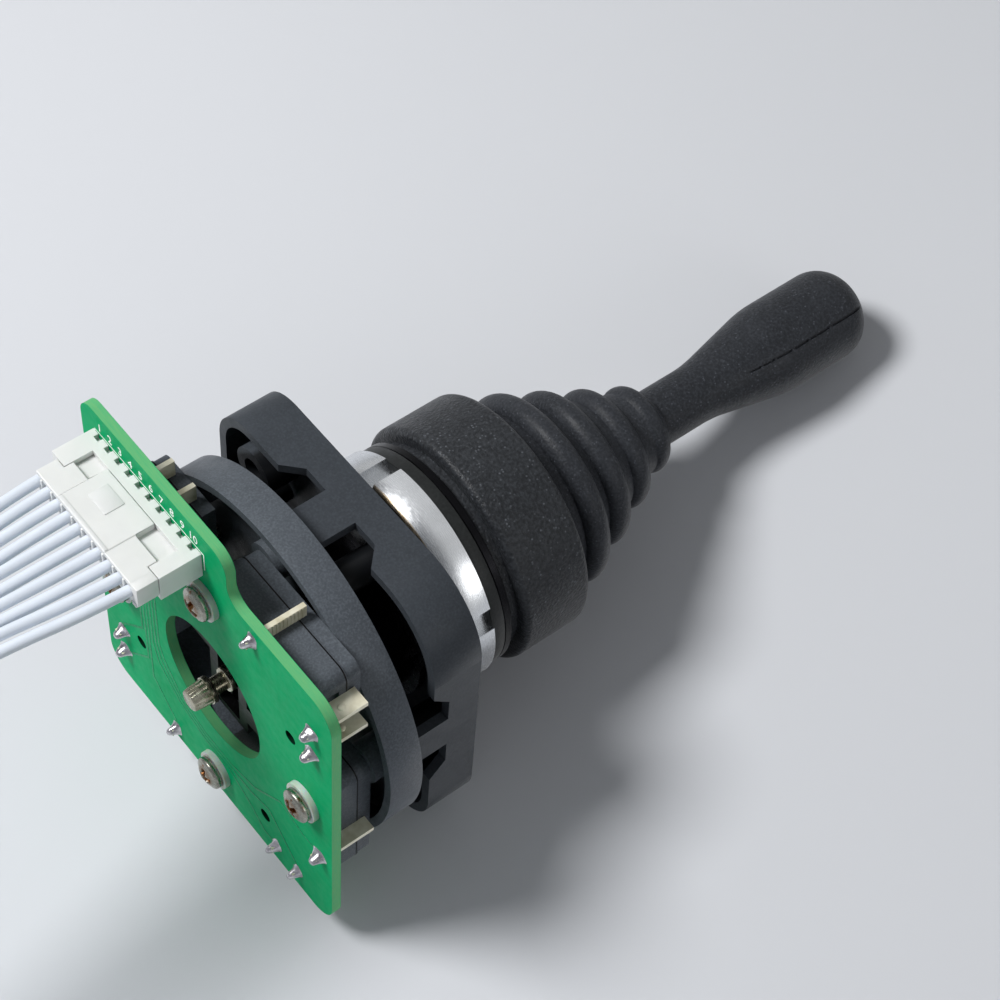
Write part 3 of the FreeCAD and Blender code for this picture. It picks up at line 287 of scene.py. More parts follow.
def natural_white(name, colour, rough, scatter):
    """Uncoloured nylon: a little light goes in, and the surface is faintly uneven."""
    g = Graph(name, Specular_IOR_Level=0.45, Subsurface_Weight=scatter, Subsurface_Scale=0.0012)
    g.shader.inputs["Subsurface Radius"].default_value = (1.0, 0.95, 0.85)
    tone = g.mix(g.span(g.noise(260.0, 2.0), 0.3, 0.7), shade(colour, 0.95), colour)
    gloss = g.span(g.noise(600.0, 2.0), 0.3, 0.7, rough - 0.06, rough + 0.06)
    g.finish(tone, gloss, g.bump(g.noise(1800.0, 3.0), 0.000012))


def screw_material():
    """Zinc-plated screw: grey on the head, red-brown with old oil in the cross recess."""
    g = Graph("screw_steel", Metallic=1.0)
    across, along = g.sides()
    far = g.combine("SUBTRACT", g.combine("MAXIMUM", across, along), SCREW_CIRCLE * MM)
    near = g.combine("MINIMUM", across, along)
    middle = g.span(g.length(far, near), 1.4 * MM, 1.9 * MM, 1.0, 0.0)
    deep = g.span(g.axis("Z"), (SCREW_TOP + 0.13) * MM, (SCREW_TOP + 0.45) * MM)
    spots = g.span(g.noise(900.0, 3.0), 0.62, 0.75)
    stain = g.combine("MAXIMUM", g.combine("MULTIPLY", middle, deep), spots)
    tone = g.mix(stain, rgb(158, 156, 146), rgb(124, 84, 50))
    gloss = g.span(g.noise(1500.0, 3.0), 0.3, 0.7, 0.18, 0.34)
    g.finish(tone, gloss, g.bump(g.noise(2600.0, 3.0), 0.00002))


def nut_material():
    """Bright plating with faint turning lines; the rear chamfer and face get a warmer, darker painted
    reflection and painted shade in uneven patches.
    """
    g = Graph("chrome_nut", Metallic=1.0)
    lines = g.noise(900.0, 4.0, (1.0, 1.0, 14.0))
    plate = g.mix(g.span(g.noise(130.0, 2.0), 0.35, 0.7), rgb(228, 230, 233), rgb(206, 208, 210))
    uneven = g.span(g.noise(420.0, 3.0), 0.25, 0.6, 0.55, 1.0)
    # Painted reflection and shade: the rear chamfer and face are tinted tan in uneven patches.
    chamfer_z = -4.75
    behind = g.span(g.axis("Z"), (chamfer_z + 0.07) * MM, (chamfer_z - 0.11) * MM)
    rear = g.combine("MULTIPLY", behind, uneven)
    tone = g.mix(rear, plate, rgb(184, 164, 134))
    gloss = g.span(lines, 0.3, 0.7, 0.18, 0.32)
    g.finish(tone, gloss, g.bump(lines, 0.00001))


def washer_material():
    """Clear nylon, a little cloudy."""
    g = Graph("washer_nylon", Specular_IOR_Level=0.5, Transmission_Weight=0.35, Subsurface_Weight=0.5,
              Subsurface_Scale=0.001)
    tone = g.mix(g.span(g.noise(400.0, 2.0), 0.3, 0.7), rgb(206, 218, 208), rgb(232, 238, 230))
    gloss = g.span(g.noise(800.0, 2.0), 0.3, 0.7, 0.28, 0.42)
    g.finish(tone, gloss, g.bump(g.noise(1500.0, 2.0), 0.00001))


# Noise is pressed into rings round turned metal, and drawn into lines along a blade
TURNED, ALONG_BLADE = (1.0, 1.0, 12.0), (1.0, 1.0, 0.2)

moulded("black_rubber_texture", rgb(43, 45, 48), rough=0.36, grain=2100.0, depth=0.0002, specular=0.16,
        specks=0.8, cloud=0.15, grit=0.4)
moulded("boot_rubber", rgb(47, 49, 53), rough=0.44, grain=2600.0, depth=0.00008, specular=0.12,
        specks=0.4, cloud=0.12)
moulded("gasket_rubber", rgb(28, 30, 30), rough=0.42, grain=2600.0, depth=0.00003, specular=0.22)
moulded("black_plastic", rgb(79, 84, 90), rough=0.4, grain=3000.0, depth=0.00003, specular=0.12,
        cloud=0.06, grit=0.2)
# Black plastic darkened as painted shade, for the sliders deep inside the part and for the blocks'
# parting lines.
moulded("slider_plastic", rgb(11, 11, 12), rough=0.34, grain=2600.0, depth=0.00002, specular=0.12)
# The bracket's colour is darkened inside its shell as painted shade.
moulded("bracket_plastic", rgb(58, 62, 67), rough=0.4, grain=3000.0, depth=0.00002, specular=0.1,
        cloud=0.06, grit=0.12, inside=bracket_painted_shade)
moulded("handle_plastic", rgb(43, 45, 49), rough=0.38, grain=2400.0, depth=0.00012, specular=0.14,
        specks=0.5, cloud=0.12, grit=0.32)
metal("barrel_metal", rgb(26, 26, 28), rough=0.3, stretch=TURNED)
nut_material()
metal("spring_steel", rgb(92, 94, 96), rough=0.28)
metal("lever_steel", rgb(192, 187, 168), rough=0.27, stretch=TURNED, tint=rgb(136, 130, 110))
metal("gimbal_metal", rgb(206, 176, 112), rough=0.3)
board_material()
screw_material()
washer_material()
metal("terminal_nickel", rgb(232, 227, 206), rough=0.36, stretch=ALONG_BLADE, tint=rgb(200, 192, 164),
      metallic=0.2)
metal("solder", rgb(214, 211, 214), rough=0.22, scale=1500.0, scratch=0.00004, tint=rgb(160, 155, 160),
      patches=900.0)
natural_white("connector_white", rgb(218, 219, 217), rough=0.42, scatter=0.25)
metal("pin_tin", rgb(208, 208, 206), rough=0.25)
natural_white("wire_white", rgb(214, 221, 231), rough=0.34, scatter=0.12)
moulded("ink", rgb(246, 250, 246), rough=0.6, grain=3000.0, depth=0.000004, specular=0.2, cloud=0.04)
moulded("trace", rgb(0, 132, 82), rough=0.4, grain=2400.0, depth=0.000004, specular=0.12, cloud=0.06)


# Mesh helpers

def clamped(share):
    """The share, held between 0 and 1."""
    return min(1.0, max(0.0, share))


def new_piece(name, bm, slot, body=None, sharp=40.0, paint=None):
    """A finished piece from a bmesh in millimetres, with its material and its body; the material is the
    slot's unless a paint is named.
    """
    bmesh.ops.recalc_face_normals(bm, faces=bm.faces)
    bmesh.ops.scale(bm, vec=(MM, MM, MM), verts=bm.verts)
    data = bpy.data.meshes.new(name)
    bm.to_mesh(data)
    bm.free()
    for face in data.polygons:
        face.use_smooth = True
    data.set_sharp_from_angle(angle=math.radians(sharp))
    data.materials.append(materials[paint or slot])
    piece = bpy.data.objects.new(name, data)
    bpy.context.scene.collection.objects.link(piece)
    if body:
        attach(piece, body)
    return piece


def quarter(x, y, turn):
    """The point turned about Z by that many right angles."""
    for _ in range(turn):
        x, y = -y, x
    return x, y


def ring_of(bm, radius, z, angles):
    """A ring of points; the radius may be a rule of the angle."""
    ring = []
    for angle in angles:
        reach = radius(angle) if callable(radius) else radius
        ring.append(bm.verts.new((reach * math.cos(angle), reach * math.sin(angle), z)))
    return ring


def bridge(bm, first, second):
    """Faces between two rings of as many points."""
    count = len(first)
    for k in range(count):
        bm.faces.new((first[k], first[(k + 1) % count], second[(k + 1) % count], second[k]))


def lathe(bm, profile, angles, closed=True):
    """Turns (radius, z) points about Z and gives the new points; a radius of 0 closes to one.

    The angles may be a number of equal steps."""
    if isinstance(angles, int):
        angles = [2 * math.pi * k / angles for k in range(angles)]
    rings = []
    for radius, z in profile:
        at_axis = not callable(radius) and radius <= 1e-6
        rings.append([bm.verts.new((0, 0, z))] if at_axis else ring_of(bm, radius, z, angles))
    after = rings[1:] + rings[:1] if closed else rings[1:]
    for first, second in zip(rings, after):
        if len(first) == 1 or len(second) == 1:
            tip, rim = (first[0], second) if len(first) == 1 else (second[0], first)
            for k in range(len(rim)):
                bm.faces.new((tip, rim[k], rim[(k + 1) % len(rim)]))
        else:
            bridge(bm, first, second)
    return [vert for ring in rings for vert in ring]


def slab(bm, low, high):
    """A box between two corners."""
    made = bmesh.ops.create_cube(bm, size=1.0)["verts"]
    centre = [(a + b) / 2 for a, b in zip(low, high)]
    bmesh.ops.scale(bm, vec=[b - a for a, b in zip(low, high)], verts=made)
    bmesh.ops.translate(bm, vec=centre, verts=made)
    return made


def soften(bm, width):
    """Rounds every sharp edge of a made shape."""
    sharp = [edge for edge in bm.edges if edge.is_manifold and edge.calc_face_angle(0.0) > 0.6]
    bmesh.ops.bevel(bm, geom=sharp, offset=width, segments=2, profile=0.5, affect="EDGES",
                    clamp_overlap=True)


def arc(centre_r, centre_z, radius, start, end, steps):
    """Points of a circle's arc in the (radius, z) plane; 0 degrees points outward, 90 up."""
    points = []
    for k in range(steps + 1):
        angle = math.radians(start + (end - start) * k / steps)
        points.append((centre_r + radius * math.cos(angle), centre_z + radius * math.sin(angle)))
    return points


def round_section(radius, corners=12):
    """A circle of (side, up) pairs."""
    angles = [2 * math.pi * k / corners for k in range(corners)]
    return [(radius * math.cos(angle), radius * math.sin(angle)) for angle in angles]


def sweep(bm, path, section):
    """Carries a closed section, in (side, up) pairs, along a path of points and caps its ends.

    The section may be a rule of the share of the path that lies behind."""
    rings = []
    count = len(path)
    up = None
    for k, point in enumerate(path):
        ahead = path[k + 1] if k < count - 1 else point
        behind = path[k - 1] if k > 0 else point
        along = (ahead - behind).normalized()
        if up is None:
            up = along.orthogonal().normalized()
        up = (up - along * up.dot(along)).normalized()
        side = along.cross(up)
        shape = section(k / (count - 1)) if callable(section) else section
        rings.append([bm.verts.new(point + side * a + up * b) for a, b in shape])
    for first, second in zip(rings, rings[1:]):
        bridge(bm, first, second)
    bm.faces.new(rings[0])
    bm.faces.new(rings[-1])


# Wires

# Down each wire from its pocket: the drop, the share of the plug's width that the bundle keeps there,
# how far odd and even wires stand apart, how far all sway, and how far each wanders
DROPS = (0, 8, 22, 46, 72, 98, 124, 146)
GATHER = (1.0, 0.985, 0.77, 0.56, 0.47, 0.47, 0.5, 0.62)
STAGGER = (0, 0, 0.3, 0.95, 1.15, 1.1, 1.0, 0.7)
SWAY = (0, 0, 0.2, 1.0, 2.2, 2.4, 1.6, 0.6)
WANDER = (0, 0, 0.06, -0.16, 0.19, -0.15, 0.17, -0.1)
POCKET_Z, PLUG_REAR_Z = -43.95, -46.95
WIRE_RADIUS, STRAND_RADIUS = 0.85, 0.5
BARE_LENGTH, BARE_START, BARE_STEPS = 4.5, -0.5, 18


def wire_points(k):
    """The wire's route from the bottom of its pocket, as in the part's source, in millimetres."""
    middle = PIN_ONE_X + PITCH * (WIRES - 1) / 2
    pin = PIN_ONE_X + PITCH * k
    side = 1 if k % 2 else -1
    points = []
    for n, drop in enumerate(DROPS):
        wander = WANDER[n] * math.sin(2.1 * k + n)
        x = middle + (pin - middle) * GATHER[n] + 0.6 * SWAY[n] + wander
        y = PIN_Y + side * STAGGER[n] + SWAY[n] + wander
        uneven = 1.5 * math.sin(1.7 * k) if n == len(DROPS) - 1 else 0
        points.append(Vector((x, y, POCKET_Z - drop - uneven)))
    return points


def strands(share):
    """A twisted bundle of tinned strands, seen end on, which tapers at its tip."""
    corners = 42
    twist = share * 2.4 * math.pi
    taper = 1.0 - 0.35 * max(0.0, (share - 0.85) / 0.15)
    section = []
    for n in range(corners):
        angle = 2 * math.pi * n / corners
        radius = STRAND_RADIUS * taper * (0.84 + 0.16 * abs(math.cos(3 * (angle + twist))))
        section.append((radius * math.cos(angle), radius * math.sin(angle)))
    return section


def make_wires():
    """Ten insulated wires, each with its bare tinned end."""
    for k in range(WIRES):
        name = f"wire_{k + 1:02d}"
        points = wire_points(k)
        data = bpy.data.curves.new(name + "_line", "CURVE")
        data.dimensions = "3D"
        spline = data.splines.new("NURBS")
        spline.points.add(len(points) - 1)
        for target, point in zip(spline.points, points):
            target.co = (*(point * MM), 1.0)
        spline.order_u = 3
        spline.use_endpoint_u = True
        spline.resolution_u = 12
        data.resolution_u = 12
        wire = bpy.data.objects.new(name + "_line", data)
        bpy.context.scene.collection.objects.link(wire)
        line = bpy.data.meshes.new_from_object(wire)
        route = [v.co.copy() / MM for v in line.vertices]
        bpy.data.meshes.remove(line)
        data.bevel_depth = WIRE_RADIUS * MM
        data.bevel_resolution = 4
        data.use_fill_caps = True
        data.materials.append(materials["wire_white"])
        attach(wire, "base")
        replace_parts(wire, name)
        along = (route[-1] - route[-2]).normalized()
        steps = [BARE_LENGTH * n / BARE_STEPS + BARE_START for n in range(BARE_STEPS + 1)]
        bm = bmesh.new()
        sweep(bm, [route[-1] + along * step for step in steps], strands)
        tip = new_piece(name + "_tip", bm, "pin_tin", "base")


make_wires()


# Boot and spring

BOOT_SPLIT_Z, BEND_LOW_Z, BEND_HIGH_Z = 26.3, 17.0, 42.4
BEAD_RADIUS, BEAD_LOW_Z, BEAD_HIGH_Z = 16.3, 10.5, 15.05
BOOT_WAIST, BOOT_NECK = 14.4, 5.95
SHOULDER_Z, NECK_Z, BOOT_TOP_Z = 20.4, 43.6, 44.9
INNER_WAIST, INNER_NECK, INNER_LOW_Z, INNER_HIGH_Z = 13.35, 5.05, 20.5, 42.2
# Each roll's largest radius and its height
ROLLS = ((16.2, 23.05), (13.3, 29.55), (10.25, 36.05), (7.4, 42.55))
BULGE, SKIN_LIFT = 2.1, 0.1
ROLL_WALL, HOLLOW_REACH = 1.0, 2.3


def skin_radius(z):
    """The bellows' valley radius, a straight taper from the waist to the neck."""
    return BOOT_WAIST + (BOOT_NECK - BOOT_WAIST) * clamped((z - SHOULDER_Z) / (NECK_Z - SHOULDER_Z))


def roll_arc(radius, z):
    """The round face of one roll, from where it leaves the skin below to where it meets it above."""
    centre = radius - BULGE
    ends = []
    for way in (-1, 1):
        angle = 0
        while angle < 150:
            turn = math.radians(angle)
            skin = skin_radius(z + way * BULGE * math.sin(turn)) + SKIN_LIFT
            if centre + BULGE * math.cos(turn) < skin:
                break
            angle += 2
        ends.append(way * angle)
    return arc(centre, z, BULGE, ends[0], ends[1], 26)


def boot_outside():
    """The bellows' outer line from the bead in the collar to the neck on the handle."""
    line = [(BEAD_RADIUS - 0.2, BEAD_LOW_Z), (BEAD_RADIUS, BEAD_LOW_Z + 0.2)]
    line += [(BEAD_RADIUS, BEAD_HIGH_Z - 0.25), (BEAD_RADIUS - 0.2, BEAD_HIGH_Z)]
    line += [(BOOT_WAIST + 0.3, BEAD_HIGH_Z), (BOOT_WAIST, BEAD_HIGH_Z + 0.25), (BOOT_WAIST, SHOULDER_Z)]
    for radius, z in ROLLS:
        line += roll_arc(radius, z)
    line += [(BOOT_NECK, BOOT_TOP_Z - 0.3), (BOOT_NECK - 0.15, BOOT_TOP_Z), (INNER_NECK, BOOT_TOP_Z)]
    return line


def boot_inside(z):
    """The bellows' inner line: a straight taper, hollowed under each of the three large rolls."""
    share = clamped((z - INNER_LOW_Z) / (INNER_HIGH_Z - INNER_LOW_Z))
    reach = INNER_WAIST + (INNER_NECK - INNER_WAIST) * share
    for radius, centre in ROLLS[:3]:
        away = abs(z - centre) / HOLLOW_REACH
        if away < 1.0:
            reach += (radius - ROLL_WALL - reach) * (1 + math.cos(math.pi * away)) / 2
    return reach


def make_boot():
    """Two pieces that meet in the first groove."""
    outside = boot_outside()
    levels = [42.0 - 0.5 * n for n in range(47)] + [15.0, BEAD_LOW_Z]
    split = (skin_radius(BOOT_SPLIT_Z) + SKIN_LIFT, BOOT_SPLIT_Z)
    for name, low, high, bodies, start, end in (
        ("boot_lower", 0.0, BOOT_SPLIT_Z, ("base", "gimbal"), BEND_LOW_Z, BOOT_SPLIT_Z),
        ("boot_upper", BOOT_SPLIT_Z, BOOT_TOP_Z, ("gimbal", "lever"), BOOT_SPLIT_Z, BEND_HIGH_Z),
    ):
        outer = [point for point in outside if low <= point[1] <= high]
        outer = outer + [split] if low == 0.0 else [split] + outer
        heights = [z for z in levels if low < z < high and abs(z - BOOT_SPLIT_Z) > 0.1]
        heights = [BOOT_SPLIT_Z] + heights if low == 0.0 else heights + [BOOT_SPLIT_Z]
        inner = [(boot_inside(z), z) for z in heights]
        bm = bmesh.new()
        lathe(bm, outer + inner, 160)
        piece = new_piece(name, bm, "boot_rubber", sharp=60.0)
        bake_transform(piece)
        if low == 0.0:
            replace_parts(piece, "bellows_boot")


def make_spring():
    """The return spring under the boot: a tapering coil, in a lower and an upper part."""
    base_z, height, turns, split = 8.1, 13.6, 4.0, 0.35
    wide, narrow, wire_radius, steps = 9.6, 5.2, 0.7, 96
    for name, low, high, bodies in (
        ("spring_lower", 0.0, split, ("base", "gimbal")),
        ("spring_upper", split, 1.0, ("gimbal", "lever")),
    ):
        path = []
        for n in range(steps + 1):
            share = low + (high - low) * n / steps
            angle = 2 * math.pi * turns * share
            radius = wide + (narrow - wide) * share
            x, y = radius * math.cos(angle), radius * math.sin(angle)
            path.append(Vector((x, y, base_z + height * share)))
        bm = bmesh.new()
        sweep(bm, path, round_section(wire_radius))
        piece = new_piece(name, bm, "spring_steel")
        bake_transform(piece)
        if low == 0.0:
            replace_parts(piece, "return_spring")


def make_stop():
    """The collar on the lever that the spring's upper end bears on."""
    outer, low, high = 5.9, 22.4, 24.8
    line = [(LEVER_ROD, low), (outer - 0.6, low), (outer, low + 0.6)]
    line += [(outer, high - 0.4), (outer - 0.4, high), (LEVER_ROD, high)]
    bm = bmesh.new()
    lathe(bm, line, 96)
    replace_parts(new_piece("stop_turned", bm, "lever_steel", "lever"), "spring_stop")


make_boot()
make_spring()
make_stop()


# Barrel, lever and handle

BARREL_RADIUS, THREAD_PITCH, THREAD_DEPTH, THREAD_START = 15.0, 1.5, 0.85, -8.75


def thread_at(z):
    """The thread's outline at one height, with the chamfer where it begins."""
    def radius(angle):
        turn = (z / THREAD_PITCH - angle / (2 * math.pi)) % 1.0
        ridge = abs(2 * turn - 1)
        depth = THREAD_DEPTH * (1 - clamped((ridge - 0.1) / 0.75))
        chamfer = THREAD_DEPTH - 1.1 * (z - THREAD_START)
        return BARREL_RADIUS - max(depth, chamfer)
    return radius


def make_barrel():
    """The panel barrel: spigot with its clip groove, screw thread, flange and the spring's seat."""
    bore, spigot, groove, flange, rim, seat = 12.2, 14.0, 13.4, 18.4, 16.6, 13.4
    end_z, groove_z, thread_end_z, flange_z, rim_z, seat_z = -17.0, -11.55, -4.9, 2.2, 10.2, 6.0
    line = [(bore, end_z), (spigot - 0.25, end_z), (spigot, end_z + 0.25), (spigot, groove_z)]
    line += [(groove, groove_z), (groove, BRACKET_PLATE_REAR), (spigot, BRACKET_PLATE_REAR)]
    line += [(spigot, THREAD_START - 0.01)]
    line += [(thread_at(THREAD_START + n / 8), THREAD_START + n / 8) for n in range(31)]
    line += [(BARREL_RADIUS, thread_end_z), (BARREL_RADIUS, flange_z), (flange - 0.15, flange_z)]
    line += [(flange, flange_z + 0.15), (flange, flange_z + 1.15), (flange - 0.15, flange_z + 1.3)]
    line += [(rim, flange_z + 1.3), (rim, rim_z), (seat, rim_z), (seat, seat_z), (bore, seat_z)]
    bm = bmesh.new()
    lathe(bm, line, 144)
    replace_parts(new_piece("barrel_turned", bm, "barrel_metal", "base"), "threaded_barrel")


def fluted(radius):
    """A turned radius with fourteen fine grooves along it."""
    return lambda angle: radius - 0.05 * (1 + math.cos(14 * angle))


def make_lever():
    """The steel rod: fluted drum behind the board, thin neck, tail, round hub and long upper rod."""
    drum, lip, neck, tail, hub = 2.05, 2.2, 1.4, 2.0, 4.8
    end_z, drum_z, lip_z, tail_z, taper_z, hub_z = -40.75, -38.0, -36.9, -34.7, -12.5, -7.0
    line = [(0, end_z), (1.5, end_z), (1.62, end_z + 0.07), (fluted(1.76), end_z + 0.25)]
    line += [(fluted(drum), drum_z), (2.02, drum_z + 0.08), (2.02, drum_z + 0.16), (lip, drum_z + 0.22)]
    line += [(lip, lip_z - 0.2), (lip - 0.1, lip_z - 0.05), (tail, lip_z), (neck, lip_z)]
    line += [(neck, tail_z), (tail - 0.1, tail_z), (tail, tail_z + 0.1), (tail, taper_z)]
    line.append((LEVER_ROD, taper_z + 1.0))
    line += arc(0, hub_z, hub, -51.3, 51.3, 24)
    line += [(LEVER_ROD, LEVER_TOP), (0, LEVER_TOP)]
    bm = bmesh.new()
    lathe(bm, line, 144, closed=False)
    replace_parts(new_piece("lever_turned", bm, "lever_steel", "lever"), "lever_rod")


HANDLE_NECK, HANDLE_GRIP, HANDLE_CURVE, DOME_RADIUS = 4.75, 7.65, 22.0, 5.8
FOOT_Z, FLARE_Z, CONE_Z, SWELL_Z, GRIP_Z, DOME_Z = 41.0, 53.25, 57.7, 67.29, 71.75, 81.9
CONE_RADIUS, CONE_SLOPE = 5.205, 0.2071
SEAM_LOW, SEAM_HIGH, SEAM_DEPTH = 62.0, 85.5, 0.38
# In degrees round the handle: where the two slits stand, their half width and the width of their edges
SEAM_ANGLES, SEAM_HALF, SEAM_EDGE = (135.0, 315.0), 1.9, 0.7
SEAM_BREAKS = (64.4, 66.9, 70.2, 73.6, 78.3)


def handle_radius(z):
    """The handle's outer line: slim neck, hollow flare, cone, full grip and domed tip."""
    if z < FLARE_Z:
        return HANDLE_NECK
    if z < CONE_Z:
        return HANDLE_NECK + HANDLE_CURVE - math.sqrt(HANDLE_CURVE**2 - (z - FLARE_Z) ** 2)
    if z < SWELL_Z:
        return CONE_RADIUS + (z - CONE_Z) * CONE_SLOPE
    if z < GRIP_Z:
        return HANDLE_GRIP - HANDLE_CURVE + math.sqrt(HANDLE_CURVE**2 - (GRIP_Z - z) ** 2)
    if z <= DOME_Z:
        return HANDLE_GRIP
    return HANDLE_GRIP - DOME_RADIUS + math.sqrt(max(0.0, DOME_RADIUS**2 - (z - DOME_Z) ** 2))


def seam_at(radius, z):
    """The moulding's parting slit, a narrow groove with a few closed spots, on two opposite sides."""
    depth = SEAM_DEPTH * clamped(min(z - SEAM_LOW, SEAM_HIGH - z))
    if any(abs(z - spot) < 0.3 for spot in SEAM_BREAKS):
        depth *= 0.25

    def rule(angle):
        away = abs((math.degrees(angle) - SEAM_ANGLES[0] + 90) % 180 - 90)
        return radius - depth * clamped((SEAM_HALF - away) / SEAM_EDGE)
    return rule


def make_handle():
    """The moulded handle from its foot in the boot's neck to its domed tip."""
    angles = set(3.0 * k for k in range(120))
    for seam in SEAM_ANGLES:
        for away in (SEAM_HALF, SEAM_HALF - SEAM_EDGE):
            angles.update((seam - away, seam + away))
    angles = [math.radians(angle) for angle in sorted(angles)]
    line = [(0, LEVER_TOP), (LEVER_ROD, LEVER_TOP), (LEVER_ROD, FOOT_Z), (HANDLE_NECK - 0.15, FOOT_Z)]
    line += [(HANDLE_NECK, FOOT_Z + 0.15), (HANDLE_NECK, FLARE_Z - 0.25)]
    heights = [FLARE_Z + 0.75 * n for n in range(12)] + [SEAM_LOW + 0.25 * n for n in range(80)]
    line += [(seam_at(handle_radius(z), z), z) for z in heights]
    for radius, z in arc(HANDLE_GRIP - DOME_RADIUS, DOME_Z, DOME_RADIUS, 0, 84, 14):
        line.append((seam_at(radius, z), z))
    line.append((0, DOME_Z + DOME_RADIUS))
    bm = bmesh.new()
    lathe(bm, line, angles, closed=False)
    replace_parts(new_piece("handle_moulding", bm, "handle_plastic", "lever", sharp=35.0), "handle_grip")


make_barrel()
make_lever()
make_handle()


# Board, joints and connector

# Each block's three blade tails: x, y and the way that they face, in degrees
BLADE_TAILS = ((11.1, -26.15, 90), (24.55, -20.5, 0), (24.55, -15.2, 0))
# The solder's outlines, as (radius, distance from the board)
DROP_LINE = ((1.55, 0.0), (1.3, 0.18), (1.1, 0.5), (0.92, 0.9), (0.78, 1.3), (0.62, 1.64), (0.36, 1.85))
DROP_HEIGHT, DROP_SIDES, DROP_WIDTH = 1.9, 28, 0.72
PIN_LINE = ((0.9, 0.0), (0.66, 0.12), (0.52, 0.35), (0.46, 0.62), (0, 0.64))


def drawn_up(radius, drop, phase):
    """A solder drop's radius, slightly four-cornered near the board."""
    star = 0.09 * max(0.0, 1 - drop / 1.2)
    return lambda angle: radius * (1 + star * math.cos(4 * angle + phase))


def make_solder():
    """Solder drawn up round each blade's tail behind the board, and round each pin before it."""
    chance = random.Random(11)
    bm = bmesh.new()
    for turn in range(4):
        for x, y, heading in BLADE_TAILS:
            phase = chance.uniform(0, 6.3)
            lean_x, lean_y = chance.uniform(-0.12, 0.12), chance.uniform(-0.12, 0.12)
            line = [(drawn_up(radius, drop, phase), BOARD_REAR - drop) for radius, drop in DROP_LINE]
            made = lathe(bm, line + [(0, BOARD_REAR - DROP_HEIGHT)], DROP_SIDES, closed=False)
            for vert in made:
                rise = BOARD_REAR - vert.co.z
                vert.co.y *= DROP_WIDTH
                vert.co.x += lean_x * rise
                vert.co.y += lean_y * rise
            place = Matrix.Translation((*quarter(x, y, turn), 0))
            spin = Matrix.Rotation(math.radians(heading + 90 * turn), 4, "Z")
            bmesh.ops.transform(bm, matrix=place @ spin, verts=made)
            bm.faces.new(made[:DROP_SIDES])
    for k in range(WIRES):
        made = lathe(bm, [(radius, BOARD_FRONT + up) for radius, up in PIN_LINE], 20, closed=False)
        bmesh.ops.translate(bm, vec=(PIN_ONE_X + PITCH * k, PIN_Y, 0), verts=made)
        bm.faces.new(made[:20])
    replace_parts(new_piece("solder_drops", bm, "solder", "base", sharp=60.0), "solder_joints")


def ribbon(bm, points, width, low, high):
    """A flat strip with mitred bends along a line of (x, y) points."""
    points = [Vector(point) for point in points]
    rings = []
    for k, point in enumerate(points):
        sides = []
        for a, b in ((k - 1, k), (k, k + 1)):
            if a >= 0 and b < len(points):
                along = (points[b] - points[a]).normalized()
                sides.append(Vector((-along.y, along.x)))
        side = sum(sides, Vector((0, 0))).normalized()
        side *= width / 2 / side.dot(sides[0])
        ring = []
        for edge, z in ((side, low), (-side, low), (-side, high), (side, high)):
            ring.append(bm.verts.new((point.x + edge.x, point.y + edge.y, z)))
        rings.append(ring)
    for first, second in zip(rings, rings[1:]):
        bridge(bm, first, second)
    bm.faces.new(rings[0])
    bm.faces.new(rings[-1])


# The copper tracks' routes, followed from the photograph
TRACES = (
    ((-20.5, -24.5), (-18.7, -21.5), (-18.7, 7.5), (-22.6, 11.4), (-24.5, 13.4), (-24.5, 15.2)),
    ((-18.4, -28.3), (-18.4, -23.2), (-17.8, -22.0), (-17.8, 14.5), (-22.8, 19.5), (-24.5, 20.5)),
    ((-17.4, -28.3), (-17.4, -23.0), (-16.9, -21.8), (-16.9, 18.5), (-11.1, 24.3), (-11.1, 26.1)),
    ((-15.2, -24.5), (-15.2, -22.6), (-16.0, -21.4), (-16.0, 8.0), (-14.8, 12.0), (-9.5, 16.6),
     (-3.0, 18.6), (3.0, 18.6), (8.0, 21.2), (12.0, 24.5), (15.2, 24.5)),
    ((-13.0, -28.3), (-13.0, -23.6), (-15.1, -21.2), (-15.1, 7.0), (-13.9, 10.6), (-9.2, 15.5),
     (-3.0, 17.5), (8.6, 17.5), (13.5, 16.2), (20.5, 23.2), (20.5, 24.5)),
    ((-12.0, -28.3), (-12.0, -23.2), (-14.2, -20.6), (-14.2, 6.0), (-13.2, 9.0), (-9.0, 14.3),
     (-3.0, 16.4), (4.0, 16.4), (10.0, 14.8), (16.5, 9.6), (22.0, 11.1), (26.1, 11.1)),
)


def make_board_print():
    """Copper tracks under the solder mask, a printed outline and the pins' plain numbers."""
    track_width, line_width, number_size, number_y = 0.42, 0.16, 2.2, -34.1
    left, right, front, rear = -25.9, 0.35, -33.45, -30.0
    bm = bmesh.new()
    for track in TRACES:
        ribbon(bm, track, track_width, BOARD_REAR - 0.035, BOARD_REAR + 0.05)
    new_piece("board_tracks", bm, "board_green", "base", paint="trace")
    bm = bmesh.new()
    outline = ((left, rear), (left, front), (right, front), (right, rear))
    ribbon(bm, outline, line_width, BOARD_REAR - 0.03, BOARD_REAR + 0.02)
    for k in range(WIRES):
        words = bpy.data.curves.new("number", "FONT")
        words.body = str(k + 1)
        words.align_x = "CENTER"
        words.size = number_size
        words.extrude = 0.03
        words.resolution_u = 3
        holder = bpy.data.objects.new("number", words)
        bpy.context.scene.collection.objects.link(holder)
        flat = bpy.data.meshes.new_from_object(holder)
        axes = Matrix(((1, 0, 0), (0, -1, 0), (0, 0, -1))).to_4x4()
        x = PIN_ONE_X + PITCH * k - 0.05
        flat.transform(Matrix.Translation((x, number_y, BOARD_REAR)) @ axes)
        bm.from_mesh(flat)
        bpy.data.objects.remove(holder)
        bpy.data.meshes.remove(flat)
        bpy.data.curves.remove(words)
    new_piece("board_print", bm, "connector_white", "base", paint="ink")


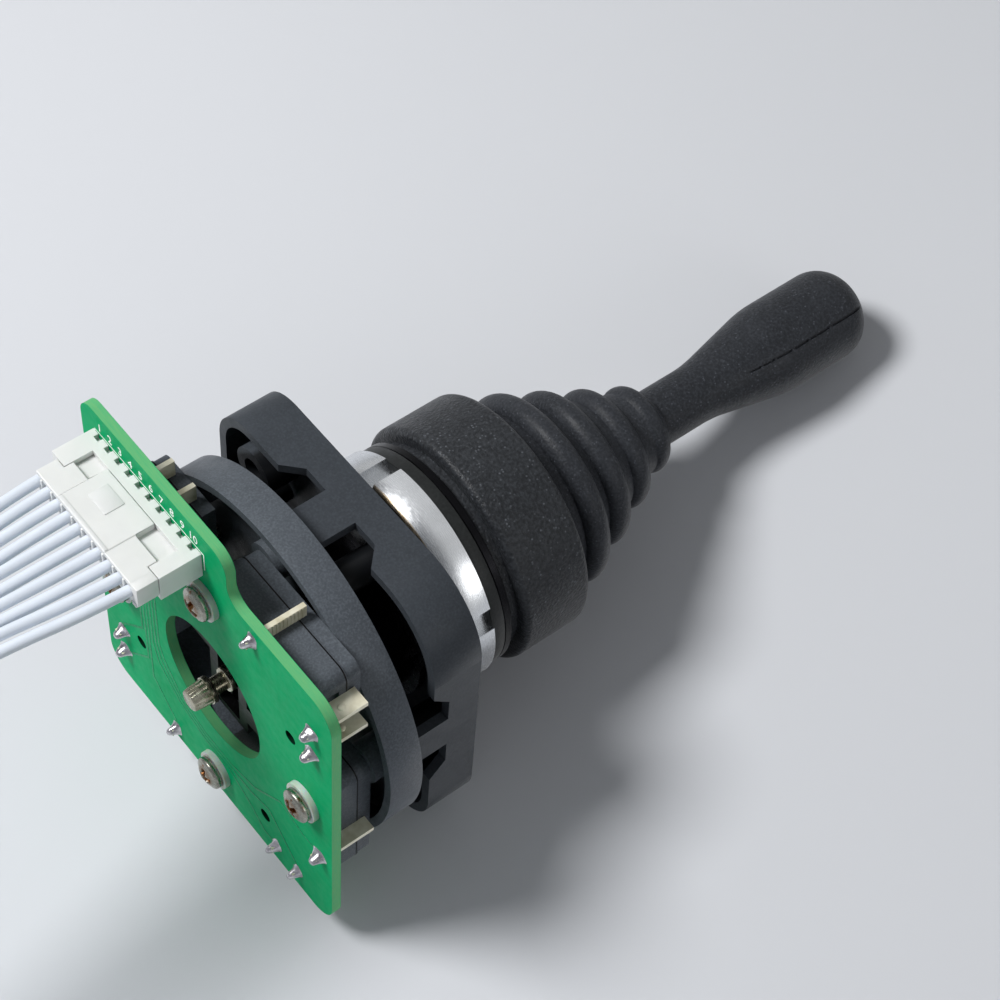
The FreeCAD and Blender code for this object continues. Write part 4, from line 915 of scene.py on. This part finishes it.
def make_plug_details():
    """The plug's end block and lug, its raised panel and lip, and the combs between its wires."""
    side_y = -33.1
    end_block = ((-1.9, side_y, PLUG_REAR_Z), (-0.25, -29.3, -43.57))
    lug = ((-1.6, -29.6, PLUG_REAR_Z - 0.1), (-0.6, -28.8, -44.8))
    panel = ((-17.1, side_y - 0.26, -43.6), (-12.9, side_y, -40.4))
    lip = ((-19.2, side_y - 0.22, PLUG_REAR_Z + 0.1), (-8.0, side_y, PLUG_REAR_Z + 0.7))
    bm = bmesh.new()
    for low, high in (end_block, lug, panel, lip):
        slab(bm, low, high)
    for k in range(WIRES - 1):
        x = PIN_ONE_X + PITCH * (k + 0.5)
        slab(bm, (x - 0.2, PIN_Y - 1.4, PLUG_REAR_Z - 0.25), (x + 0.2, PIN_Y + 1.0, PLUG_REAR_Z + 0.2))
    soften(bm, 0.1)
    new_piece("plug_details", bm, "connector_white", "base")


def make_blade_details():
    """The small pressed dimple on the face of each end blade, and fine ribs across each side blade."""
    dimple, sides = ((0.62, 0.0), (0.56, 0.07), (0.34, 0.15), (0, 0.18)), 24
    dimple_z, rib_z, rib_pitch, ribs = -31.4, -34.9, 0.6, 11
    stand = Matrix.Rotation(math.radians(90), 4, "X")
    bm = bmesh.new()
    for turn in range(4):
        spin = Matrix.Rotation(math.radians(90 * turn), 4, "Z")
        for x, y, _ in BLADE_TAILS[1:]:
            made = lathe(bm, dimple, sides, closed=False)
            bm.faces.new(made[:sides])
            place = Matrix.Translation((x - 0.65, y - 0.4, dimple_z))
            bmesh.ops.transform(bm, matrix=spin @ place @ stand, verts=made)
        for k in range(ribs):
            z = rib_z + rib_pitch * k
            rib = slab(bm, (11.4, -27.2, z), (11.58, -25.1, z + 0.28))
            bmesh.ops.transform(bm, matrix=spin, verts=rib)
    new_piece("blade_details", bm, "terminal_nickel", "base", sharp=60.0)


def make_block_lines():
    """A dark strip painted as the shade in the parting line round each block, where its case meets its
    cover.
    """
    near, far, inner, outer, round_by = -2.3, 22.3, -11.8, -25.0, 2.0
    width, low_z, high_z = 0.08, -29.5, -29.3
    line = [(near, inner)]
    for x, start in ((near + round_by, 180), (far - round_by, 270)):
        for k in range(9):
            angle = math.radians(start + 90 * k / 8)
            line.append((x + round_by * math.cos(angle), outer + round_by + round_by * math.sin(angle)))
    line.append((far, inner))
    bm = bmesh.new()
    for turn in range(4):
        ribbon(bm, [quarter(x, y, turn) for x, y in line], width, low_z, high_z)
    new_piece("block_seam_shade", bm, "black_plastic", "base", paint="slider_plastic")


def cross_recess(x, y):
    """How deep the recess is at a point of the screw's head, from 0 to 1."""
    def wing(across, along):
        return clamped((0.52 - abs(across)) / 0.22) * clamped((1.55 - abs(along)) / 0.75)
    return max(wing(x, y), wing(y, x))


def make_screws():
    """Pan-head screws: a domed head with a pressed cross recess, on a plain shank."""
    seat, far, crown, dome, rim, shank, recess = -37.65, -23.75, 2.2, 0.7, 0.5, 1.5, 0.95
    rings, sides = 22, 96
    bm = bmesh.new()
    for turn in range(4):
        line = [(0.1 * n, SCREW_TOP + dome * (0.1 * n / crown) ** 2) for n in range(rings)]
        for bend in (0.4, 0.8, 1.2, 1.5):
            line.append((crown + rim * math.sin(bend), SCREW_TOP + dome + rim * (1 - math.cos(bend))))
        line += [(crown + rim, seat - 0.1), (crown + rim - 0.1, seat), (shank, seat)]
        line += [(shank, far + 0.5), (shank - 0.4, far), (0, far)]
        made = lathe(bm, line, sides, closed=False)
        for vert in made[: 1 + (rings - 1) * sides]:
            vert.co.z += recess * cross_recess(vert.co.x, vert.co.y)
        spin = Matrix.Rotation(math.radians(17 + 31 * turn), 4, "Z")
        place = Matrix.Translation((*quarter(0, -SCREW_CIRCLE, turn), 0))
        bmesh.ops.transform(bm, matrix=place @ spin, verts=made)
    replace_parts(new_piece("screws_turned", bm, "screw_steel", "base", sharp=50.0), "board_screws")


make_screws()
make_solder()
make_board_print()
make_plug_details()
make_blade_details()
make_block_lines()


# Carried-over nodes

def dress(name, slot, bevel=0.0):
    """Gives a CAD node its material, joins its doubled points and softens its sharp edges."""
    node = nodes[name]
    node.data.materials.clear()
    # The sliders take the black that is darkened as painted shade.
    node.data.materials.append(materials["slider_plastic" if name.startswith("slider") else slot])
    weld = node.modifiers.new("weld", "WELD")
    weld.merge_threshold = 0.000002
    if bevel:
        edges = node.modifiers.new("soften", "BEVEL")
        edges.width = bevel * MM
        edges.segments = 2
        edges.limit_method = "ANGLE"
        edges.angle_limit = math.radians(35)
        edges.use_clamp_overlap = True
        edges.harden_normals = False


slot_of = {row["node"]: row["material_slot"] for row in frame["record"]["subparts"]}
bevels = {
    "mounting_bracket": 0.25,
    "switch_carrier": 0.2,
    "connector_header": 0.12,
    "connector_plug": 0.12,
    "panel_gasket": 0.12,
}
for name in nodes:
    if name.startswith("contact_c"):
        bevels[name] = 0.15
    dress(name, slot_of[name], bevels.get(name, 0.0))


# Stage and light

LIT_POINT = Vector((0, 0, 10)) * MM
FLOOR_COLOUR = rgb(203, 205, 209)


def plane(name, centre, normal, half, colour):
    """A plain pale surface that shows only from its front and throws no shadow itself."""
    g = Graph(name + "_paint", Roughness=0.85, Specular_IOR_Level=0.1)
    tone = g.mix(g.span(g.noise(6.0, 2.0), 0.3, 0.7), shade(colour, 0.985), colour)
    g.link(tone, g.shader.inputs["Base Color"])
    clear = g.add("ShaderNodeBsdfTransparent")
    either = g.add("ShaderNodeMixShader")
    behind = g.add("ShaderNodeNewGeometry").outputs["Backfacing"]
    g.link(behind, either.inputs[0])
    g.link(g.shader.outputs[0], either.inputs[1])
    g.link(clear.outputs[0], either.inputs[2])
    g.link(either.outputs[0], g.tree.nodes["Material Output"].inputs["Surface"])
    bm = bmesh.new()
    corners = [bm.verts.new((a * half, b * half, 0)) for a, b in ((-1, -1), (1, -1), (1, 1), (-1, 1))]
    bm.faces.new(corners)
    data = bpy.data.meshes.new(name)
    bm.to_mesh(data)
    bm.free()
    data.materials.append(g.material)
    piece = bpy.data.objects.new(name, data)
    bpy.context.scene.collection.objects.link(piece)
    piece.rotation_mode = "QUATERNION"
    piece.rotation_quaternion = Vector(normal).to_track_quat("Z", "Y")
    piece.location = centre
    piece.visible_shadow = False


def lamp(name, direction, distance, size, watts):
    """A round soft light that shines on the part from that direction."""
    data = bpy.data.lights.new(name, "AREA")
    data.shape = "DISK"
    data.size = size
    data.energy = watts
    piece = bpy.data.objects.new(name, data)
    bpy.context.scene.collection.objects.link(piece)
    way = Vector(direction).normalized()
    piece.location = LIT_POINT + way * distance
    piece.rotation_mode = "QUATERNION"
    piece.rotation_quaternion = way.to_track_quat("Z", "Y")
    piece.visible_camera = False


def make_world():
    """A pale room: bright where it is seen or mirrored, and weaker as a light."""
    world = bpy.data.worlds.new("studio")
    bpy.context.scene.world = world
    world.use_nodes = True
    tree = world.node_tree
    back = tree.nodes["Background"]
    back.inputs["Color"].default_value = (0.86, 0.87, 0.88, 1)
    path = tree.nodes.new("ShaderNodeLightPath")
    total = path.outputs["Is Camera Ray"]
    for output in ("Is Glossy Ray", "Is Transmission Ray"):
        both = tree.nodes.new("ShaderNodeMath")
        both.operation = "MAXIMUM"
        tree.links.new(total, both.inputs[0])
        tree.links.new(path.outputs[output], both.inputs[1])
        total = both.outputs[0]
    level = tree.nodes.new("ShaderNodeMapRange")
    level.inputs["To Min"].default_value = 0.22
    level.inputs["To Max"].default_value = 0.72
    tree.links.new(total, level.inputs["Value"])
    tree.links.new(level.outputs["Result"], back.inputs["Strength"])


# The part lies on the first plane in the photograph; the second shows under it in views from above
plane("lying_surface", Vector((0, 29.75, -21.35)) * MM, (0, -0.9776, -0.2103), 1.2, FLOOR_COLOUR)
plane("floor", Vector((0, 0, -205)) * MM, (0, 0, 1), 1.5, FLOOR_COLOUR)
lamp("key", -0.85 * RIGHT - 0.7 * DOWN - FORWARD, distance=0.7, size=0.24, watts=5.2)
lamp("fill", 0.9 * RIGHT + 0.3 * DOWN - 0.8 * FORWARD, distance=0.8, size=0.4, watts=0.8)
lamp("back", Vector((0.3, 1.0, 0.7)), distance=0.9, size=0.6, watts=2.6)
make_world()

bpy.context.scene.view_settings.view_transform = "Standard"
